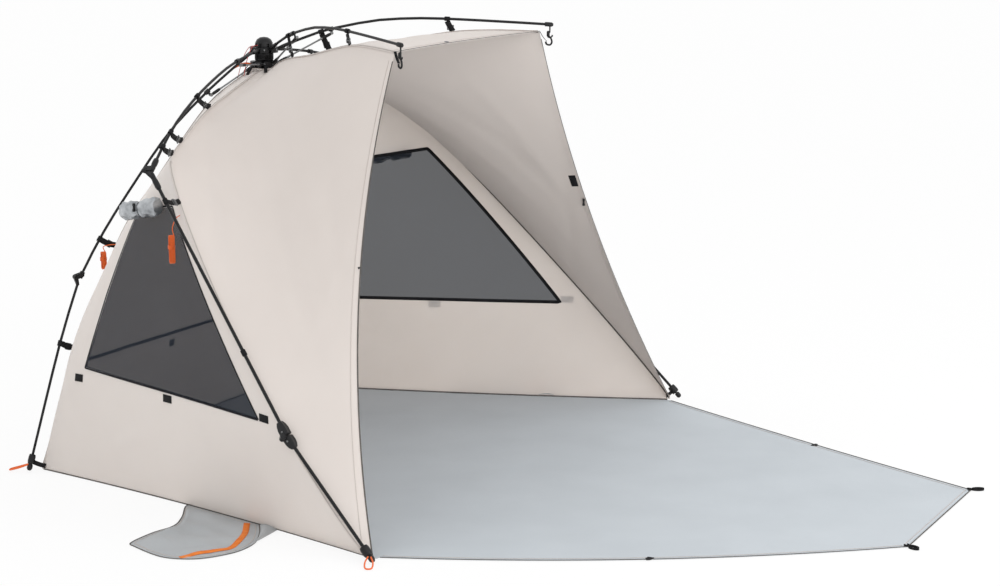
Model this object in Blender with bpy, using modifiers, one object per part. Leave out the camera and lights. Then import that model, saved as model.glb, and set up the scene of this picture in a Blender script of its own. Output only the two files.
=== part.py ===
"""Pop-up beach tent: umbrella hub, folding poles, canopy, floor and fold-out porch.

Metres, +Z up. The opening faces -Y and the frame is symmetric about X = 0.
Places are measured from the middle of the front floor line. The last step moves
the whole tent so that its box stands centred on the origin.
"""
import math

import bmesh
import bpy
from mathutils import Matrix, Vector
from mathutils.bvhtree import BVHTree

# Ground plan
FRONT_WIDTH = 2.40
PORCH_DEPTH = 1.400
PORCH_TIP_WIDTH = 0.737
PORCH_BULGE = {"left": 0.078, "right": -0.012}
PORCH_CORNER_INSET = 0.055
SHEET_THICKNESS = 0.003

# Hub: the six poles hinge on the upper hub and the six struts on the lower one
HUB_Y = 1.092
LOWER_PIVOT_Z = 1.358
UPPER_PIVOT_Z = LOWER_PIVOT_Z + 0.050
PIVOT_RADIUS = 0.040
HUB_FLANGE_RADIUS = 0.050
HUB_FLANGE_HALF_HEIGHT = 0.011
HUB_CORE_RADIUS = 0.026
HUB_DOME_HEIGHT = 0.044
HUB_PIN_RADIUS = 0.0020

# Pole planes, in degrees round the hub from straight ahead
AWNING_ANGLE = 33.45
FRONT_ANGLE = 80.0
REAR_ANGLE = 121.0

# Pole shapes as (distance from the hub axis, height)
FRONT_ARM_SHAPE = [(0.130, 1.400), (0.317, 1.374), (0.532, 1.319), (0.705, 1.258),
                   (0.837, 1.193), (0.948, 1.117), (0.985, 1.090)]
REAR_ARM_SHAPE = [(0.140, 1.334), (0.233, 1.263), (0.376, 1.134), (0.532, 0.941),
                  (0.640, 0.793), (0.727, 0.649)]
REAR_SHIN_SHAPE = [(0.806, 0.428), (0.926, 0.026)]
AWNING_SHAPE = [(0.200, 1.468), (0.372, 1.503), (0.487, 1.512), (0.600, 1.512),
                (0.743, 1.505), (0.917, 1.494), (1.005, 1.488)]

# Front leg joints on the right-hand side
LOCK_POINT = (FRONT_WIDTH / 2 - 0.012, 0.302, 0.345)
FRONT_FOOT_POINT = (FRONT_WIDTH / 2 + 0.032, -0.004, 0.022)

# Pole stock and fittings
POLE_RADIUS = 0.0048
LEG_RADIUS = 0.0055
STRUT_RADIUS = 0.0030
POLE_STEPS = 14
EYE_ROOT = 0.012
EYE_RADIUS = 0.0080
EYE_HALF_WIDTH = 0.0045
RUN_GAP = 0.0004
FIT_GAP = 0.0003
SOCKET_RADIUS = 0.0085
SOCKET_LENGTH = 0.024
SOCKET_START = 0.007
CHEEK_THICKNESS = 0.0033
PIN_RADIUS = 0.0028
ELBOW_PIN_OFFSET = 0.022
KNEE_PIN_OFFSET = 0.016
COLLAR_LENGTH = 0.018
STRUT_SEAT = {"front": 0.250, "rear": 0.226, "awning": 0.237}
STRUT_DROP = 0.014
STRUT_SIDE_OFFSET = 0.0130
STRUT_SWELL = 1.45
STRUT_EYE_HALF_WIDTH = STRUT_RADIUS * STRUT_SWELL + 0.0004
STRUT_EYE_RADIUS = 0.0055
COLLAR_OUTER_RADIUS = STRUT_SIDE_OFFSET - STRUT_EYE_HALF_WIDTH - FIT_GAP
FOOT_RADIUS = 0.0095
FOOT_LENGTH = 0.022
TIP_RADIUS = 0.0080
TIP_LENGTH = 0.030
HOOK_WIRE_RADIUS = 0.0028
HOOK_RADIUS = 0.0095
HOOK_DROP = 0.020

# Canopy seams as (distance from the hub axis, height) in the pole planes
CANOPY_RING_RADIUS = 0.0505
CANOPY_RING_Z = LOWER_PIVOT_Z - 0.0175
RIDGE_SHAPE = [(0.171, 1.383), (0.369, 1.412), (0.522, 1.440), (0.670, 1.463),
               (0.813, 1.468), (0.985, 1.462)]
ARM_SEAM_SHAPE = [(0.180, 1.312), (0.303, 1.288), (0.550, 1.232), (0.817, 1.126)]
HEM_Z = 0.0041
REAR_SEAM_SHAPE = [(0.224, 1.225), (0.418, 0.989), (0.543, 0.831), (0.638, 0.655),
                   (0.748, 0.430), (0.811, 0.226), (0.884, HEM_Z)]
FLOOR_INSET = 0.010
FLOOR_LEAD = 0.0058
CANOPY_FOOT_INSET = 0.006
LEG_SEAM_CLEARANCE = 0.0174
LEG_SEAM_SETBACK = 0.021
LEG_SEAM_FULLNESS = 0.6
FRONT_EDGE_BOW = (0.029, 0.073)
ROOF_EDGE_BOW = 0.030
SIDE_HEM_BOW = 0.030
SEAM_GAP = 0.0042
WALL_BEND_START = 0.15
WALL_BEND_BOW = 0.14
WALL_BEND_WEIGHT = 3.2
PANEL_CELLS = 10

# Window outline in each side wall as (depth from the front, height)
WINDOW_OUTLINE = [(1.350, 0.380), (1.258, 0.640), (1.145, 0.928), (0.905, 0.966), (0.450, 0.368)]
WINDOW_GAP = 0.0006
ROLL_RADIUS = 0.021
ROLL_STANDOFF = 0.0163
ROLL_LENGTH = 0.165
ROLL_LEAN = 0.27
ROLL_FRONT_Y = 0.965
ROLL_Z = 0.945

# Sand pockets lie on the ground, outline as (distance outside half the front width, depth)
SAND_POCKET_OUTLINE = [(-0.145, 0.777), (-0.046, 0.742), (0.051, 0.757), (0.171, 0.754), (0.202, 0.718),
                       (0.252, 0.603), (0.253, 0.535), (0.225, 0.475), (0.169, 0.433), (0.098, 0.407),
                       (0.005, 0.412), (-0.100, 0.460)]
SAND_POCKET_SPAN = (0.33, 0.545)
SAND_POCKET_TUCK = 0.0005
SAND_POCKET_THICKNESS = HEM_Z - 0.0007

# Cords
GUY_CORD_RADIUS = 0.0015
GUY_CORD_START = 0.0012
GUY_LOOPS = 5
GUY_LOOP_PITCH = 0.0036
GUY_LOOP_POINTS = 24
GUY_LOOP_HALF_WIDTH = 0.0075
GUY_WAIST = 0.35
FRONT_GUY_ANCHOR = (0.850, 0.950)
FRONT_GUY_RUN = 0.090
REAR_GUY_ANCHOR = (1.372, 0.765)
REAR_GUY_HOOK = (0.634, 0.750)
REAR_GUY_RUN = 0.060
PULL_CORD_RADIUS = 0.0012
LOOP_WIRE_RADIUS = 0.0030

SIDES = {"left": -1.0, "right": 1.0}
POLE_ANGLE = {"front": FRONT_ANGLE, "rear": REAR_ANGLE, "awning": AWNING_ANGLE}
UP = Vector((0.0, 0.0, 1.0))


# Scene and object helpers

def clear_scene():
    """Remove every object of the startup scene."""
    for obj in list(bpy.data.objects):
        bpy.data.objects.remove(obj, do_unlink=True)


def new_collection(name, hidden=False):
    """Return a collection linked to the scene."""
    collection = bpy.data.collections.new(name)
    collection.hide_render = hidden
    bpy.context.scene.collection.children.link(collection)
    return collection


def principled(name, colour, roughness, metallic=0.0):
    """Return a material with one Principled BSDF."""
    material = bpy.data.materials.new(name)
    material.use_nodes = True
    shader = material.node_tree.nodes["Principled BSDF"]
    shader.inputs["Base Color"].default_value = (*colour, 1.0)
    shader.inputs["Roughness"].default_value = roughness
    shader.inputs["Metallic"].default_value = metallic
    return material


def add_object(name, data, material, parent=None):
    """Link a part that is modelled in tent coordinates, and hang it on its joint empty."""
    obj = bpy.data.objects.new(name, data)
    PARTS.objects.link(obj)
    data.materials.append(material)
    attach(obj, parent or TENT)
    return obj


def attach(obj, parent):
    """Parent an object and keep it where it is."""
    obj.parent = parent
    obj.matrix_parent_inverse = Matrix.Translation(-JOINT_POINTS[parent.name])


def joint_empty(name, point, parent):
    """Return an empty on a joint's axis, parented to the body that carries it."""
    empty = bpy.data.objects.new(name, None)
    empty.empty_display_size = 0.03
    PARTS.objects.link(empty)
    JOINT_POINTS[name] = Vector(point)
    if parent is None:
        empty.location = point
    else:
        empty.parent = parent
        empty.location = JOINT_POINTS[name] - JOINT_POINTS[parent.name]
    return empty


def hide_tool(obj):
    """Keep an object that only cuts or joins out of the model."""
    CUTTERS.objects.link(obj)
    obj.hide_render = True
    obj.display_type = "WIRE"
    attach(obj, TENT)


def combine(target, data, operation):
    """Add a Boolean with a tool mesh that is modelled in tent coordinates."""
    tool = bpy.data.objects.new(target.name + "_" + operation.lower(), data)
    hide_tool(tool)
    modifier = target.modifiers.new(operation.title(), "BOOLEAN")
    modifier.operation = operation
    modifier.object = tool
    return tool


# Mesh helpers

def mesh_from(bm, name):
    """Write a bmesh to a new mesh with its normals outwards."""
    bmesh.ops.recalc_face_normals(bm, faces=bm.faces)
    mesh = bpy.data.meshes.new(name)
    bm.to_mesh(mesh)
    bm.free()
    return mesh


def frame_along(direction):
    """Return two unit vectors square to a direction."""
    direction = direction.normalized()
    helper = UP if abs(direction.z) < 0.9 else Vector((1.0, 0.0, 0.0))
    first = direction.cross(helper).normalized()
    return first, direction.cross(first).normalized()


def rod(name, start, end, radius, segments=12):
    """Return a plain round bar between two points."""
    axis = end - start
    turn = axis.to_track_quat("Z", "Y").to_matrix().to_4x4()
    place = Matrix.Translation((start + end) / 2) @ turn
    bm = bmesh.new()
    bmesh.ops.create_cone(bm, cap_ends=True, segments=segments, radius1=radius, radius2=radius,
                          depth=axis.length, matrix=place)
    return mesh_from(bm, name)


def plate(name, discs, axis, low, high, segments=10):
    """Return a flat plate round a set of discs, between two offsets from the first disc's plane."""
    axis = axis.normalized()
    first, second = frame_along(axis)
    level = discs[0][0].dot(axis)
    bm = bmesh.new()
    for centre, radius in discs:
        centre = centre + axis * (level - centre.dot(axis))
        for offset in (low, high):
            for step in range(segments):
                turn = 2 * math.pi * step / segments
                spoke = first * math.cos(turn) + second * math.sin(turn)
                bm.verts.new(centre + spoke * radius + axis * offset)
    made = bmesh.ops.convex_hull(bm, input=bm.verts)
    loose = [item for item in made["geom_interior"] if isinstance(item, bmesh.types.BMVert)]
    bmesh.ops.delete(bm, geom=loose, context="VERTS")
    return mesh_from(bm, name)


def prism(name, outline, low, high, lift):
    """Return a solid with a flat outline; lift turns (a, b, height) into a place."""
    bm = bmesh.new()
    base = [bm.verts.new(lift(a, b, low)) for a, b in outline]
    top = [bm.verts.new(lift(a, b, high)) for a, b in outline]
    bm.faces.new(base)
    bm.faces.new(top)
    for index in range(len(outline)):
        after = (index + 1) % len(outline)
        bm.faces.new((base[index], base[after], top[after], top[index]))
    return mesh_from(bm, name)


def turned(name, profile, base, direction, material, parent, steps=24):
    """Return a turned part: a (radius, height) profile, top first, spun by a Screw modifier."""
    mesh = bpy.data.meshes.new(name)
    points = [(radius, 0.0, height) for radius, height in profile]
    edges = [(index, index + 1) for index in range(len(points) - 1)]
    closed_ring = profile[0][0] > 0.0
    if closed_ring:
        edges.append((len(points) - 1, 0))
    turn = direction.to_track_quat("Z", "Y").to_matrix().to_4x4()
    place = Matrix.Translation(base) @ turn
    mesh.from_pydata(points, edges, [])
    obj = add_object(name, mesh, material, parent)
    obj.matrix_basis = place
    screw = obj.modifiers.new("Turn", "SCREW")
    screw.axis = "Z"
    screw.steps = steps
    screw.render_steps = steps
    screw.use_merge_vertices = True
    screw.merge_threshold = 0.0001
    return obj


def tube_curve(name, points, radius, radii=None, cyclic=False, resolution=2):
    """Return a POLY curve with a round bevel and filled caps."""
    curve = bpy.data.curves.new(name, "CURVE")
    curve.dimensions = "3D"
    curve.bevel_depth = radius
    curve.bevel_resolution = resolution
    curve.use_fill_caps = True
    spline = curve.splines.new("POLY")
    spline.points.add(len(points) - 1)
    spline.use_cyclic_u = cyclic
    for index, place in enumerate(points):
        spline.points[index].co = (*place, 1.0)
        if radii:
            spline.points[index].radius = radii[index]
    return curve


def tube_mesh(name, points, radius, radii=None):
    """Return a tube as a closed mesh, for a piece that is cut or joined."""
    curve = tube_curve(name, points, radius, radii)
    guide = bpy.data.objects.new(name + "_guide", curve)
    bpy.context.scene.collection.objects.link(guide)
    graph = bpy.context.evaluated_depsgraph_get()
    mesh = bpy.data.meshes.new_from_object(guide.evaluated_get(graph))
    bpy.data.objects.remove(guide, do_unlink=True)
    bm = bmesh.new()
    bm.from_mesh(mesh)
    bmesh.ops.remove_doubles(bm, verts=bm.verts, dist=0.00001)
    bmesh.ops.recalc_face_normals(bm, faces=bm.faces)
    bm.to_mesh(mesh)
    bm.free()
    return mesh


# Path helpers

def polar(side, angle, radius, height):
    """Return a point by its angle round the hub axis."""
    turn = math.radians(angle)
    return Vector((side * radius * math.sin(turn), HUB_Y - radius * math.cos(turn), height))


def outward(side, angle):
    """Return the level direction away from the hub in a pole's plane."""
    return polar(side, angle, 1.0, 0.0) - polar(side, angle, 0.0, 0.0)


def swing_axis(side, angle):
    """Return the level axis square to a pole's plane."""
    return outward(side, angle).cross(UP)


def smooth(points, per_span=6):
    """Return points along a Catmull-Rom curve through the given ones."""
    points = [Vector(place) for place in points]
    padded = [points[0] * 2 - points[1], *points, points[-1] * 2 - points[-2]]
    path = []
    for index in range(len(points) - 1):
        before, start, end, after = padded[index:index + 4]
        for step in range(per_span):
            t = step / per_span
            place = 2 * start + (end - before) * t
            place += (2 * before - 5 * start + 4 * end - after) * t ** 2
            place += (3 * start - before - 3 * end + after) * t ** 3
            path.append(place / 2)
    path.append(points[-1])
    return path


def lengths(path):
    """Return the running length at each point of a path."""
    total = [0.0]
    for before, after in zip(path, path[1:]):
        total.append(total[-1] + (after - before).length)
    return total


def at_length(path, distance):
    """Return the point at a distance along a path."""
    total = lengths(path)
    distance = min(max(distance, 0.0), total[-1])
    for index in range(1, len(path)):
        if distance <= total[index]:
            span = total[index] - total[index - 1]
            share = (distance - total[index - 1]) / span if span else 0.0
            return path[index - 1].lerp(path[index], share)
    return path[-1]


def cut_path(path, start_trim, end_trim, count):
    """Return evenly spaced points of a path with its ends trimmed."""
    whole = lengths(path)[-1]
    span = whole - start_trim - end_trim
    return [at_length(path, start_trim + span * step / (count - 1)) for step in range(count)]


def share_of(path, share):
    """Return the point at a share of a path's length."""
    return at_length(path, share * lengths(path)[-1])


def bowed(start, end, bow, count=16, fullness=1.0):
    """Return a path between two points that bows by a vector at its middle."""
    path = []
    for step in range(count + 1):
        t = step / count
        path.append(start.lerp(end, t) + bow * (4 * t * (1 - t)) ** fullness)
    return path


# Frame

def pole_path(side, kind):
    """Return a pole's centre line from its hub pin."""
    shapes = {"front": FRONT_ARM_SHAPE, "rear": REAR_ARM_SHAPE, "awning": AWNING_SHAPE}
    shape = [(PIVOT_RADIUS, UPPER_PIVOT_Z), *shapes[kind]]
    return smooth([polar(side, POLE_ANGLE[kind], *place) for place in shape])


def end_direction(path):
    """Return the direction in which a path ends."""
    return (path[-1] - path[-4]).normalized()


def seat_distance(side, kind, path):
    """Return how far along its pole a strut's collar sits."""
    away = outward(side, POLE_ANGLE[kind])
    hub = polar(side, POLE_ANGLE[kind], 0.0, 0.0)
    reach = [(place - hub).dot(away) for place in path]
    total = lengths(path)
    index = next(place for place, value in enumerate(reach) if value >= STRUT_SEAT[kind])
    share = (STRUT_SEAT[kind] - reach[index - 1]) / (reach[index] - reach[index - 1])
    return total[index - 1] + share * (total[index] - total[index - 1])


def pole_points(side, kind, end_trim):
    """Return a pole tube's points: even steps, with a straight stretch under the strut's collar."""
    path = pole_path(side, kind)
    seat = seat_distance(side, kind, path)
    span = lengths(path)[-1] - EYE_ROOT - end_trim
    steps = [EYE_ROOT + span * step / (POLE_STEPS - 1) for step in range(POLE_STEPS)]
    steps = [step for step in steps if abs(step - seat) > COLLAR_LENGTH * 1.6]
    steps += [seat - COLLAR_LENGTH * 0.75, seat + COLLAR_LENGTH * 0.75]
    return [at_length(path, step) for step in sorted(steps)]


def eye_rod(name, points, radius, pin, axis, material, parent, pin_radius,
            half_width=EYE_HALF_WIDTH, eye_radius=EYE_RADIUS, radii=None):
    """Return a rod whose first end carries a flat eye that turns on a pin."""
    obj = add_object(name, tube_mesh(name, points, radius, radii), material, parent)
    root = points[0] + (points[1] - points[0]).normalized() * 0.004
    eye = plate(name + "_eye", [(pin, eye_radius), (root, radius)], axis, -half_width, half_width)
    combine(obj, eye, "UNION")
    reach = axis.normalized() * (half_width * 2)
    bore = rod(name + "_bore", pin - reach, pin + reach, pin_radius + RUN_GAP)
    combine(obj, bore, "DIFFERENCE")
    return obj


def hinge_fork(name, vertex, tube_direction, pin, axis, parent):
    """Return the fork of a pole joint: socket, two cheeks and the pin through them."""
    near = vertex - tube_direction * SOCKET_START
    far = near - tube_direction * SOCKET_LENGTH
    obj = add_object(name, rod(name, far, near, SOCKET_RADIUS), BLACK_PLASTIC, parent)
    middle = (near + far) / 2
    discs = [(pin, EYE_RADIUS + 0.0005), (middle, SOCKET_RADIUS)]
    inner = EYE_HALF_WIDTH + FIT_GAP
    for sign in (-1.0, 1.0):
        low, high = sorted((sign * inner, sign * (inner + CHEEK_THICKNESS)))
        combine(obj, plate(name + "_cheek", discs, axis, low, high), "UNION")
    reach = axis.normalized() * (inner + CHEEK_THICKNESS + 0.001)
    combine(obj, rod(name + "_pin", pin - reach, pin + reach, PIN_RADIUS), "UNION")
    return obj


def hinge_ferrule(name, vertex, tube_direction, pin, axis, parent):
    """Return the ferrule that turns in a fork: socket and a bored tongue."""
    near = vertex + tube_direction * SOCKET_START
    far = near + tube_direction * SOCKET_LENGTH
    obj = add_object(name, rod(name, near, far, SOCKET_RADIUS), BLACK_PLASTIC, parent)
    discs = [(pin, EYE_RADIUS), ((near + far) / 2, EYE_RADIUS)]
    combine(obj, plate(name + "_tongue", discs, axis, -EYE_HALF_WIDTH, EYE_HALF_WIDTH), "UNION")
    reach = axis.normalized() * (EYE_HALF_WIDTH * 2)
    combine(obj, rod(name + "_bore", pin - reach, pin + reach, PIN_RADIUS + RUN_GAP), "DIFFERENCE")
    return obj


def hub_slots(obj, pivot_height, half_width, side_offset):
    """Cut a slot for each pole or strut through a hub's flange and put its pin across it."""
    floor = pivot_height - HUB_FLANGE_HALF_HEIGHT * 2
    roof = pivot_height + HUB_FLANGE_HALF_HEIGHT * 2
    for side in SIDES.values():
        for angle in POLE_ANGLE.values():
            away = outward(side, angle)
            across = swing_axis(side, angle) * side
            centre = polar(side, angle, 0.0, 0.0) + across * side_offset
            width = half_width + FIT_GAP
            outline = [(HUB_CORE_RADIUS, -width), (HUB_FLANGE_RADIUS * 1.3, -width),
                       (HUB_FLANGE_RADIUS * 1.3, width), (HUB_CORE_RADIUS, width)]

            def lift(a, b, height, centre=centre, away=away, across=across):
                return centre + away * a + across * b + UP * height

            combine(obj, prism(obj.name + "_slot", outline, floor, roof, lift), "DIFFERENCE")
            pin = lift(PIVOT_RADIUS, 0.0, pivot_height)
            reach = across * (half_width + 0.003)
            combine(obj, rod(obj.name + "_pin", pin - reach, pin + reach, HUB_PIN_RADIUS, 10), "UNION")


def build_hubs():
    """Make the domed upper hub, which slides, and the lower hub, which carries the canopy."""
    foot = Vector((0.0, HUB_Y, 0.0))
    flange = HUB_FLANGE_HALF_HEIGHT
    skirt = (UPPER_PIVOT_Z - LOWER_PIVOT_Z) / 2 - FIT_GAP
    dome = [(0.0, HUB_DOME_HEIGHT), (0.014, HUB_DOME_HEIGHT - 0.002), (0.025, HUB_DOME_HEIGHT - 0.009),
            (0.031, HUB_DOME_HEIGHT - 0.020), (0.033, flange), (HUB_FLANGE_RADIUS, flange - 0.003),
            (HUB_FLANGE_RADIUS, -flange), (HUB_CORE_RADIUS - 0.003, -flange - 0.002),
            (HUB_CORE_RADIUS - 0.003, -skirt), (0.0, -skirt)]
    upper = turned("upper_hub", dome, foot + UP * UPPER_PIVOT_Z, UP, BLACK_PLASTIC, UPPER_HUB_JOINT)
    hub_slots(upper, UPPER_PIVOT_Z, EYE_HALF_WIDTH, 0.0)
    patch_z = CANOPY_RING_Z + FIT_GAP
    seat = LOWER_PIVOT_Z - patch_z - SHEET_THICKNESS - FIT_GAP
    post = (UPPER_PIVOT_Z - LOWER_PIVOT_Z) / 2
    body = [(0.0, post), (0.020, post), (0.022, flange), (HUB_FLANGE_RADIUS, flange - 0.002),
            (HUB_FLANGE_RADIUS, -flange), (0.030, -seat), (0.0, -seat)]
    lower = turned("lower_hub", body, foot + UP * LOWER_PIVOT_Z, UP, BLACK_PLASTIC, None)
    hub_slots(lower, LOWER_PIVOT_Z, STRUT_EYE_HALF_WIDTH, STRUT_SIDE_OFFSET)
    patch = [(0.0, SHEET_THICKNESS), (CANOPY_RING_RADIUS, SHEET_THICKNESS),
             (CANOPY_RING_RADIUS, 0.0), (0.0, 0.0)]
    turned("hub_patch", patch, foot + UP * patch_z, UP, BLACK_FABRIC, None)


def strut_seat(side, kind):
    """Return the collar's middle on its pole, the pole's direction there and the strut's pin point."""
    path = pole_path(side, kind)
    seat = seat_distance(side, kind, path)
    before = at_length(path, seat - COLLAR_LENGTH * 0.75)
    after = at_length(path, seat + COLLAR_LENGTH * 0.75)
    middle = (before + after) / 2
    along = (after - before).normalized()
    axis = swing_axis(side, POLE_ANGLE[kind])
    below = along.cross(axis).normalized()
    below = below if below.z < 0 else -below
    return middle, along, middle + below * STRUT_DROP + axis * side * STRUT_SIDE_OFFSET


def build_strut(side_name, side, kind):
    """Make a strut from the lower hub, and the collar on the pole that it pushes."""
    axis = swing_axis(side, POLE_ANGLE[kind])
    across = axis * side * STRUT_SIDE_OFFSET
    middle, along, seat = strut_seat(side, kind)
    pin = polar(side, POLE_ANGLE[kind], PIVOT_RADIUS, LOWER_PIVOT_Z) + across
    joint = joint_empty("strut_joint_%s_%s" % (kind, side_name), pin, TENT)
    swell = [STRUT_SWELL, STRUT_SWELL, 1.0, 1.0, 1.0, 1.0, STRUT_SWELL, STRUT_SWELL]
    points = cut_path([pin, seat], EYE_ROOT, 0.0, len(swell))
    name = "strut_%s_%s" % (kind, side_name)
    obj = eye_rod(name, points, STRUT_RADIUS, pin, axis, STEEL, joint, HUB_PIN_RADIUS,
                  STRUT_EYE_HALF_WIDTH, STRUT_EYE_RADIUS, swell)
    tail = plate(name + "_tail", [(seat, STRUT_EYE_RADIUS)], axis,
                 -STRUT_EYE_HALF_WIDTH, STRUT_EYE_HALF_WIDTH)
    combine(obj, tail, "UNION")
    bore = POLE_RADIUS + FIT_GAP
    half = COLLAR_LENGTH / 2
    ring = [(bore, half), (COLLAR_OUTER_RADIUS, half), (COLLAR_OUTER_RADIUS, -half), (bore, -half)]
    pole_joint = bpy.data.objects["%s_arm_joint_%s" % (kind, side_name)]
    collar = turned("strut_collar_%s_%s" % (kind, side_name), ring, middle, along,
                    BLACK_PLASTIC, pole_joint, 16)
    face = STRUT_SIDE_OFFSET - STRUT_EYE_HALF_WIDTH - FIT_GAP
    flat_seat = seat - across
    neck = middle + (flat_seat - middle).normalized() * COLLAR_OUTER_RADIUS * 0.6
    low, high = sorted((side * (bore + 0.0006), side * face))
    ear = plate(collar.name + "_ear", [(flat_seat, STRUT_EYE_RADIUS), (neck, COLLAR_OUTER_RADIUS * 0.5)],
                axis, low, high)
    combine(collar, ear, "UNION")


def foot_cap(name, end, direction, parent):
    """Make the moulded cap on the end of a leg."""
    profile = [(0.0, FOOT_LENGTH), (FOOT_RADIUS * 0.55, FOOT_LENGTH), (FOOT_RADIUS, FOOT_LENGTH * 0.7),
               (FOOT_RADIUS, FOOT_LENGTH * 0.25), (FOOT_RADIUS * 0.85, FIT_GAP), (0.0, FIT_GAP)]
    turned(name, profile, end, direction, BLACK_PLASTIC, parent, 16)


def build_front_leg(side_name, side):
    """Make a front leg: arched arm, elbow, upper leg, knee, lower leg and foot."""
    path = pole_path(side, "front")
    pivot = path[0]
    arm_joint = joint_empty("front_arm_joint_" + side_name, pivot, UPPER_HUB_JOINT)
    elbow = path[-1]
    lock = Vector((side * LOCK_POINT[0], *LOCK_POINT[1:]))
    foot = Vector((side * FRONT_FOOT_POINT[0], *FRONT_FOOT_POINT[1:]))
    chord = (elbow - pivot).normalized()
    leg = (lock - elbow).normalized()
    shin = (foot - lock).normalized()
    elbow_axis = chord.cross(leg).normalized()
    elbow_pin = elbow + (chord - leg).normalized() * ELBOW_PIN_OFFSET
    knee_axis = leg.cross(shin).normalized()
    knee_pin = lock + (leg - shin).normalized() * KNEE_PIN_OFFSET
    socket_end = SOCKET_START + SOCKET_LENGTH + FIT_GAP
    eye_rod("front_arm_" + side_name, pole_points(side, "front", socket_end), POLE_RADIUS, pivot,
            swing_axis(side, FRONT_ANGLE), POLE_BLACK, arm_joint, HUB_PIN_RADIUS)
    hinge_fork("elbow_fork_" + side_name, elbow, end_direction(path), elbow_pin, elbow_axis, arm_joint)
    leg_joint = joint_empty("elbow_joint_" + side_name, elbow_pin, arm_joint)
    hinge_ferrule("elbow_ferrule_" + side_name, elbow, leg, elbow_pin, elbow_axis, leg_joint)
    ends = [elbow + leg * socket_end, lock - leg * socket_end]
    upper = tube_curve("front_leg_upper_" + side_name, ends, LEG_RADIUS)
    add_object(upper.name, upper, POLE_BLACK, leg_joint)
    hinge_fork("knee_fork_" + side_name, lock, leg, knee_pin, knee_axis, leg_joint)
    shin_joint = joint_empty("knee_joint_" + side_name, knee_pin, leg_joint)
    eye_rod("front_leg_lower_" + side_name, cut_path([lock, foot], EYE_ROOT, 0.0, 3), LEG_RADIUS,
            knee_pin, knee_axis, POLE_BLACK, shin_joint, PIN_RADIUS)
    foot_cap("front_foot_" + side_name, foot, shin, shin_joint)


def build_rear_leg(side_name, side):
    """Make a rear leg: arched upper pole, knee, lower pole and foot."""
    path = pole_path(side, "rear")
    axis = swing_axis(side, REAR_ANGLE)
    arm_joint = joint_empty("rear_arm_joint_" + side_name, path[0], UPPER_HUB_JOINT)
    knee = path[-1]
    shin_path = smooth([knee, *(polar(side, REAR_ANGLE, *place) for place in REAR_SHIN_SHAPE)])
    chord = (knee - path[0]).normalized()
    away = axis.cross(chord).normalized()
    away = away if away.dot(outward(side, REAR_ANGLE)) > 0 else -away
    pin = knee + away * KNEE_PIN_OFFSET
    socket_end = SOCKET_START + SOCKET_LENGTH + FIT_GAP
    eye_rod("rear_leg_upper_" + side_name, pole_points(side, "rear", socket_end), POLE_RADIUS, path[0],
            axis, POLE_BLACK, arm_joint, HUB_PIN_RADIUS)
    hinge_fork("rear_fork_" + side_name, knee, end_direction(path), pin, axis, arm_joint)
    shin_joint = joint_empty("rear_knee_joint_" + side_name, pin, arm_joint)
    eye_rod("rear_leg_lower_" + side_name, cut_path(shin_path, EYE_ROOT, 0.0, 7), POLE_RADIUS, pin,
            axis, POLE_BLACK, shin_joint, PIN_RADIUS)
    foot_cap("rear_foot_" + side_name, shin_path[-1], end_direction(shin_path), shin_joint)


def build_awning_pole(side_name, side):
    """Make an awning pole with its tip cap and the hook that holds the canopy's peak."""
    path = pole_path(side, "awning")
    axis = swing_axis(side, AWNING_ANGLE)
    joint = joint_empty("awning_arm_joint_" + side_name, path[0], UPPER_HUB_JOINT)
    eye_rod("awning_pole_" + side_name, pole_points(side, "awning", 0.0), POLE_RADIUS, path[0],
            axis, POLE_BLACK, joint, HUB_PIN_RADIUS)
    ahead = end_direction(path)
    end = path[-1]
    profile = [(0.0, TIP_LENGTH), (TIP_RADIUS * 0.6, TIP_LENGTH), (TIP_RADIUS, TIP_LENGTH * 0.8),
               (TIP_RADIUS, FIT_GAP), (0.0, FIT_GAP)]
    tip = turned("awning_tip_" + side_name, profile, end, ahead, BLACK_PLASTIC, joint, 16)
    stem = end + ahead * (TIP_LENGTH * 0.6)
    level = outward(side, AWNING_ANGLE)
    ring = stem - UP * (TIP_RADIUS + HOOK_DROP)
    hook = [stem, stem - UP * (TIP_RADIUS + HOOK_DROP / 2)]
    for step in range(9):
        turn = math.radians(90 + 270 * step / 8)
        hook.append(ring - UP * HOOK_RADIUS
                    + level * math.cos(turn) * HOOK_RADIUS + UP * math.sin(turn) * HOOK_RADIUS)
    combine(tip, tube_mesh(tip.name + "_hook", hook, HOOK_WIRE_RADIUS), "UNION")


# Canopy

def ring_point(side, angle):
    """Return a point of the canopy's ring under the hub."""
    return polar(side, angle, CANOPY_RING_RADIUS, CANOPY_RING_Z)


def ring_arc(start, end, count=8):
    """Return the canopy ring between two signed angles, left negative."""
    path = []
    for step in range(count + 1):
        angle = start + (end - start) * step / count
        path.append(ring_point(1.0, angle))
    return path


def seam(side, angle, shape):
    """Return a seam from the canopy ring along a pole's plane."""
    return smooth([ring_point(side, angle), *(polar(side, angle, *place) for place in shape)])


def canopy_foot(side):
    """Return the canopy's lower front corner."""
    return Vector((side * (FRONT_WIDTH / 2 - CANOPY_FOOT_INSET), CANOPY_FOOT_INSET, HEM_Z))


def leg_seam_room(side, top, foot):
    """Return how far the leg seam can bow out and stay a clearance inside the upper front leg."""
    elbow = pole_path(side, "front")[-1]
    lock = Vector((side * LOCK_POINT[0], *LOCK_POINT[1:]))
    rooms = []
    for height in ((top.z + foot.z) / 2, lock.z):
        leg = elbow.lerp(lock, (elbow.z - height) / (elbow.z - lock.z))
        t = (top.z - height) / (top.z - foot.z)
        room = (leg.x - top.lerp(foot, t).x) * side - LEG_SEAM_CLEARANCE
        rooms.append(room / (4 * t * (1 - t)) ** LEG_SEAM_FULLNESS)
    return min(rooms)


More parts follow.
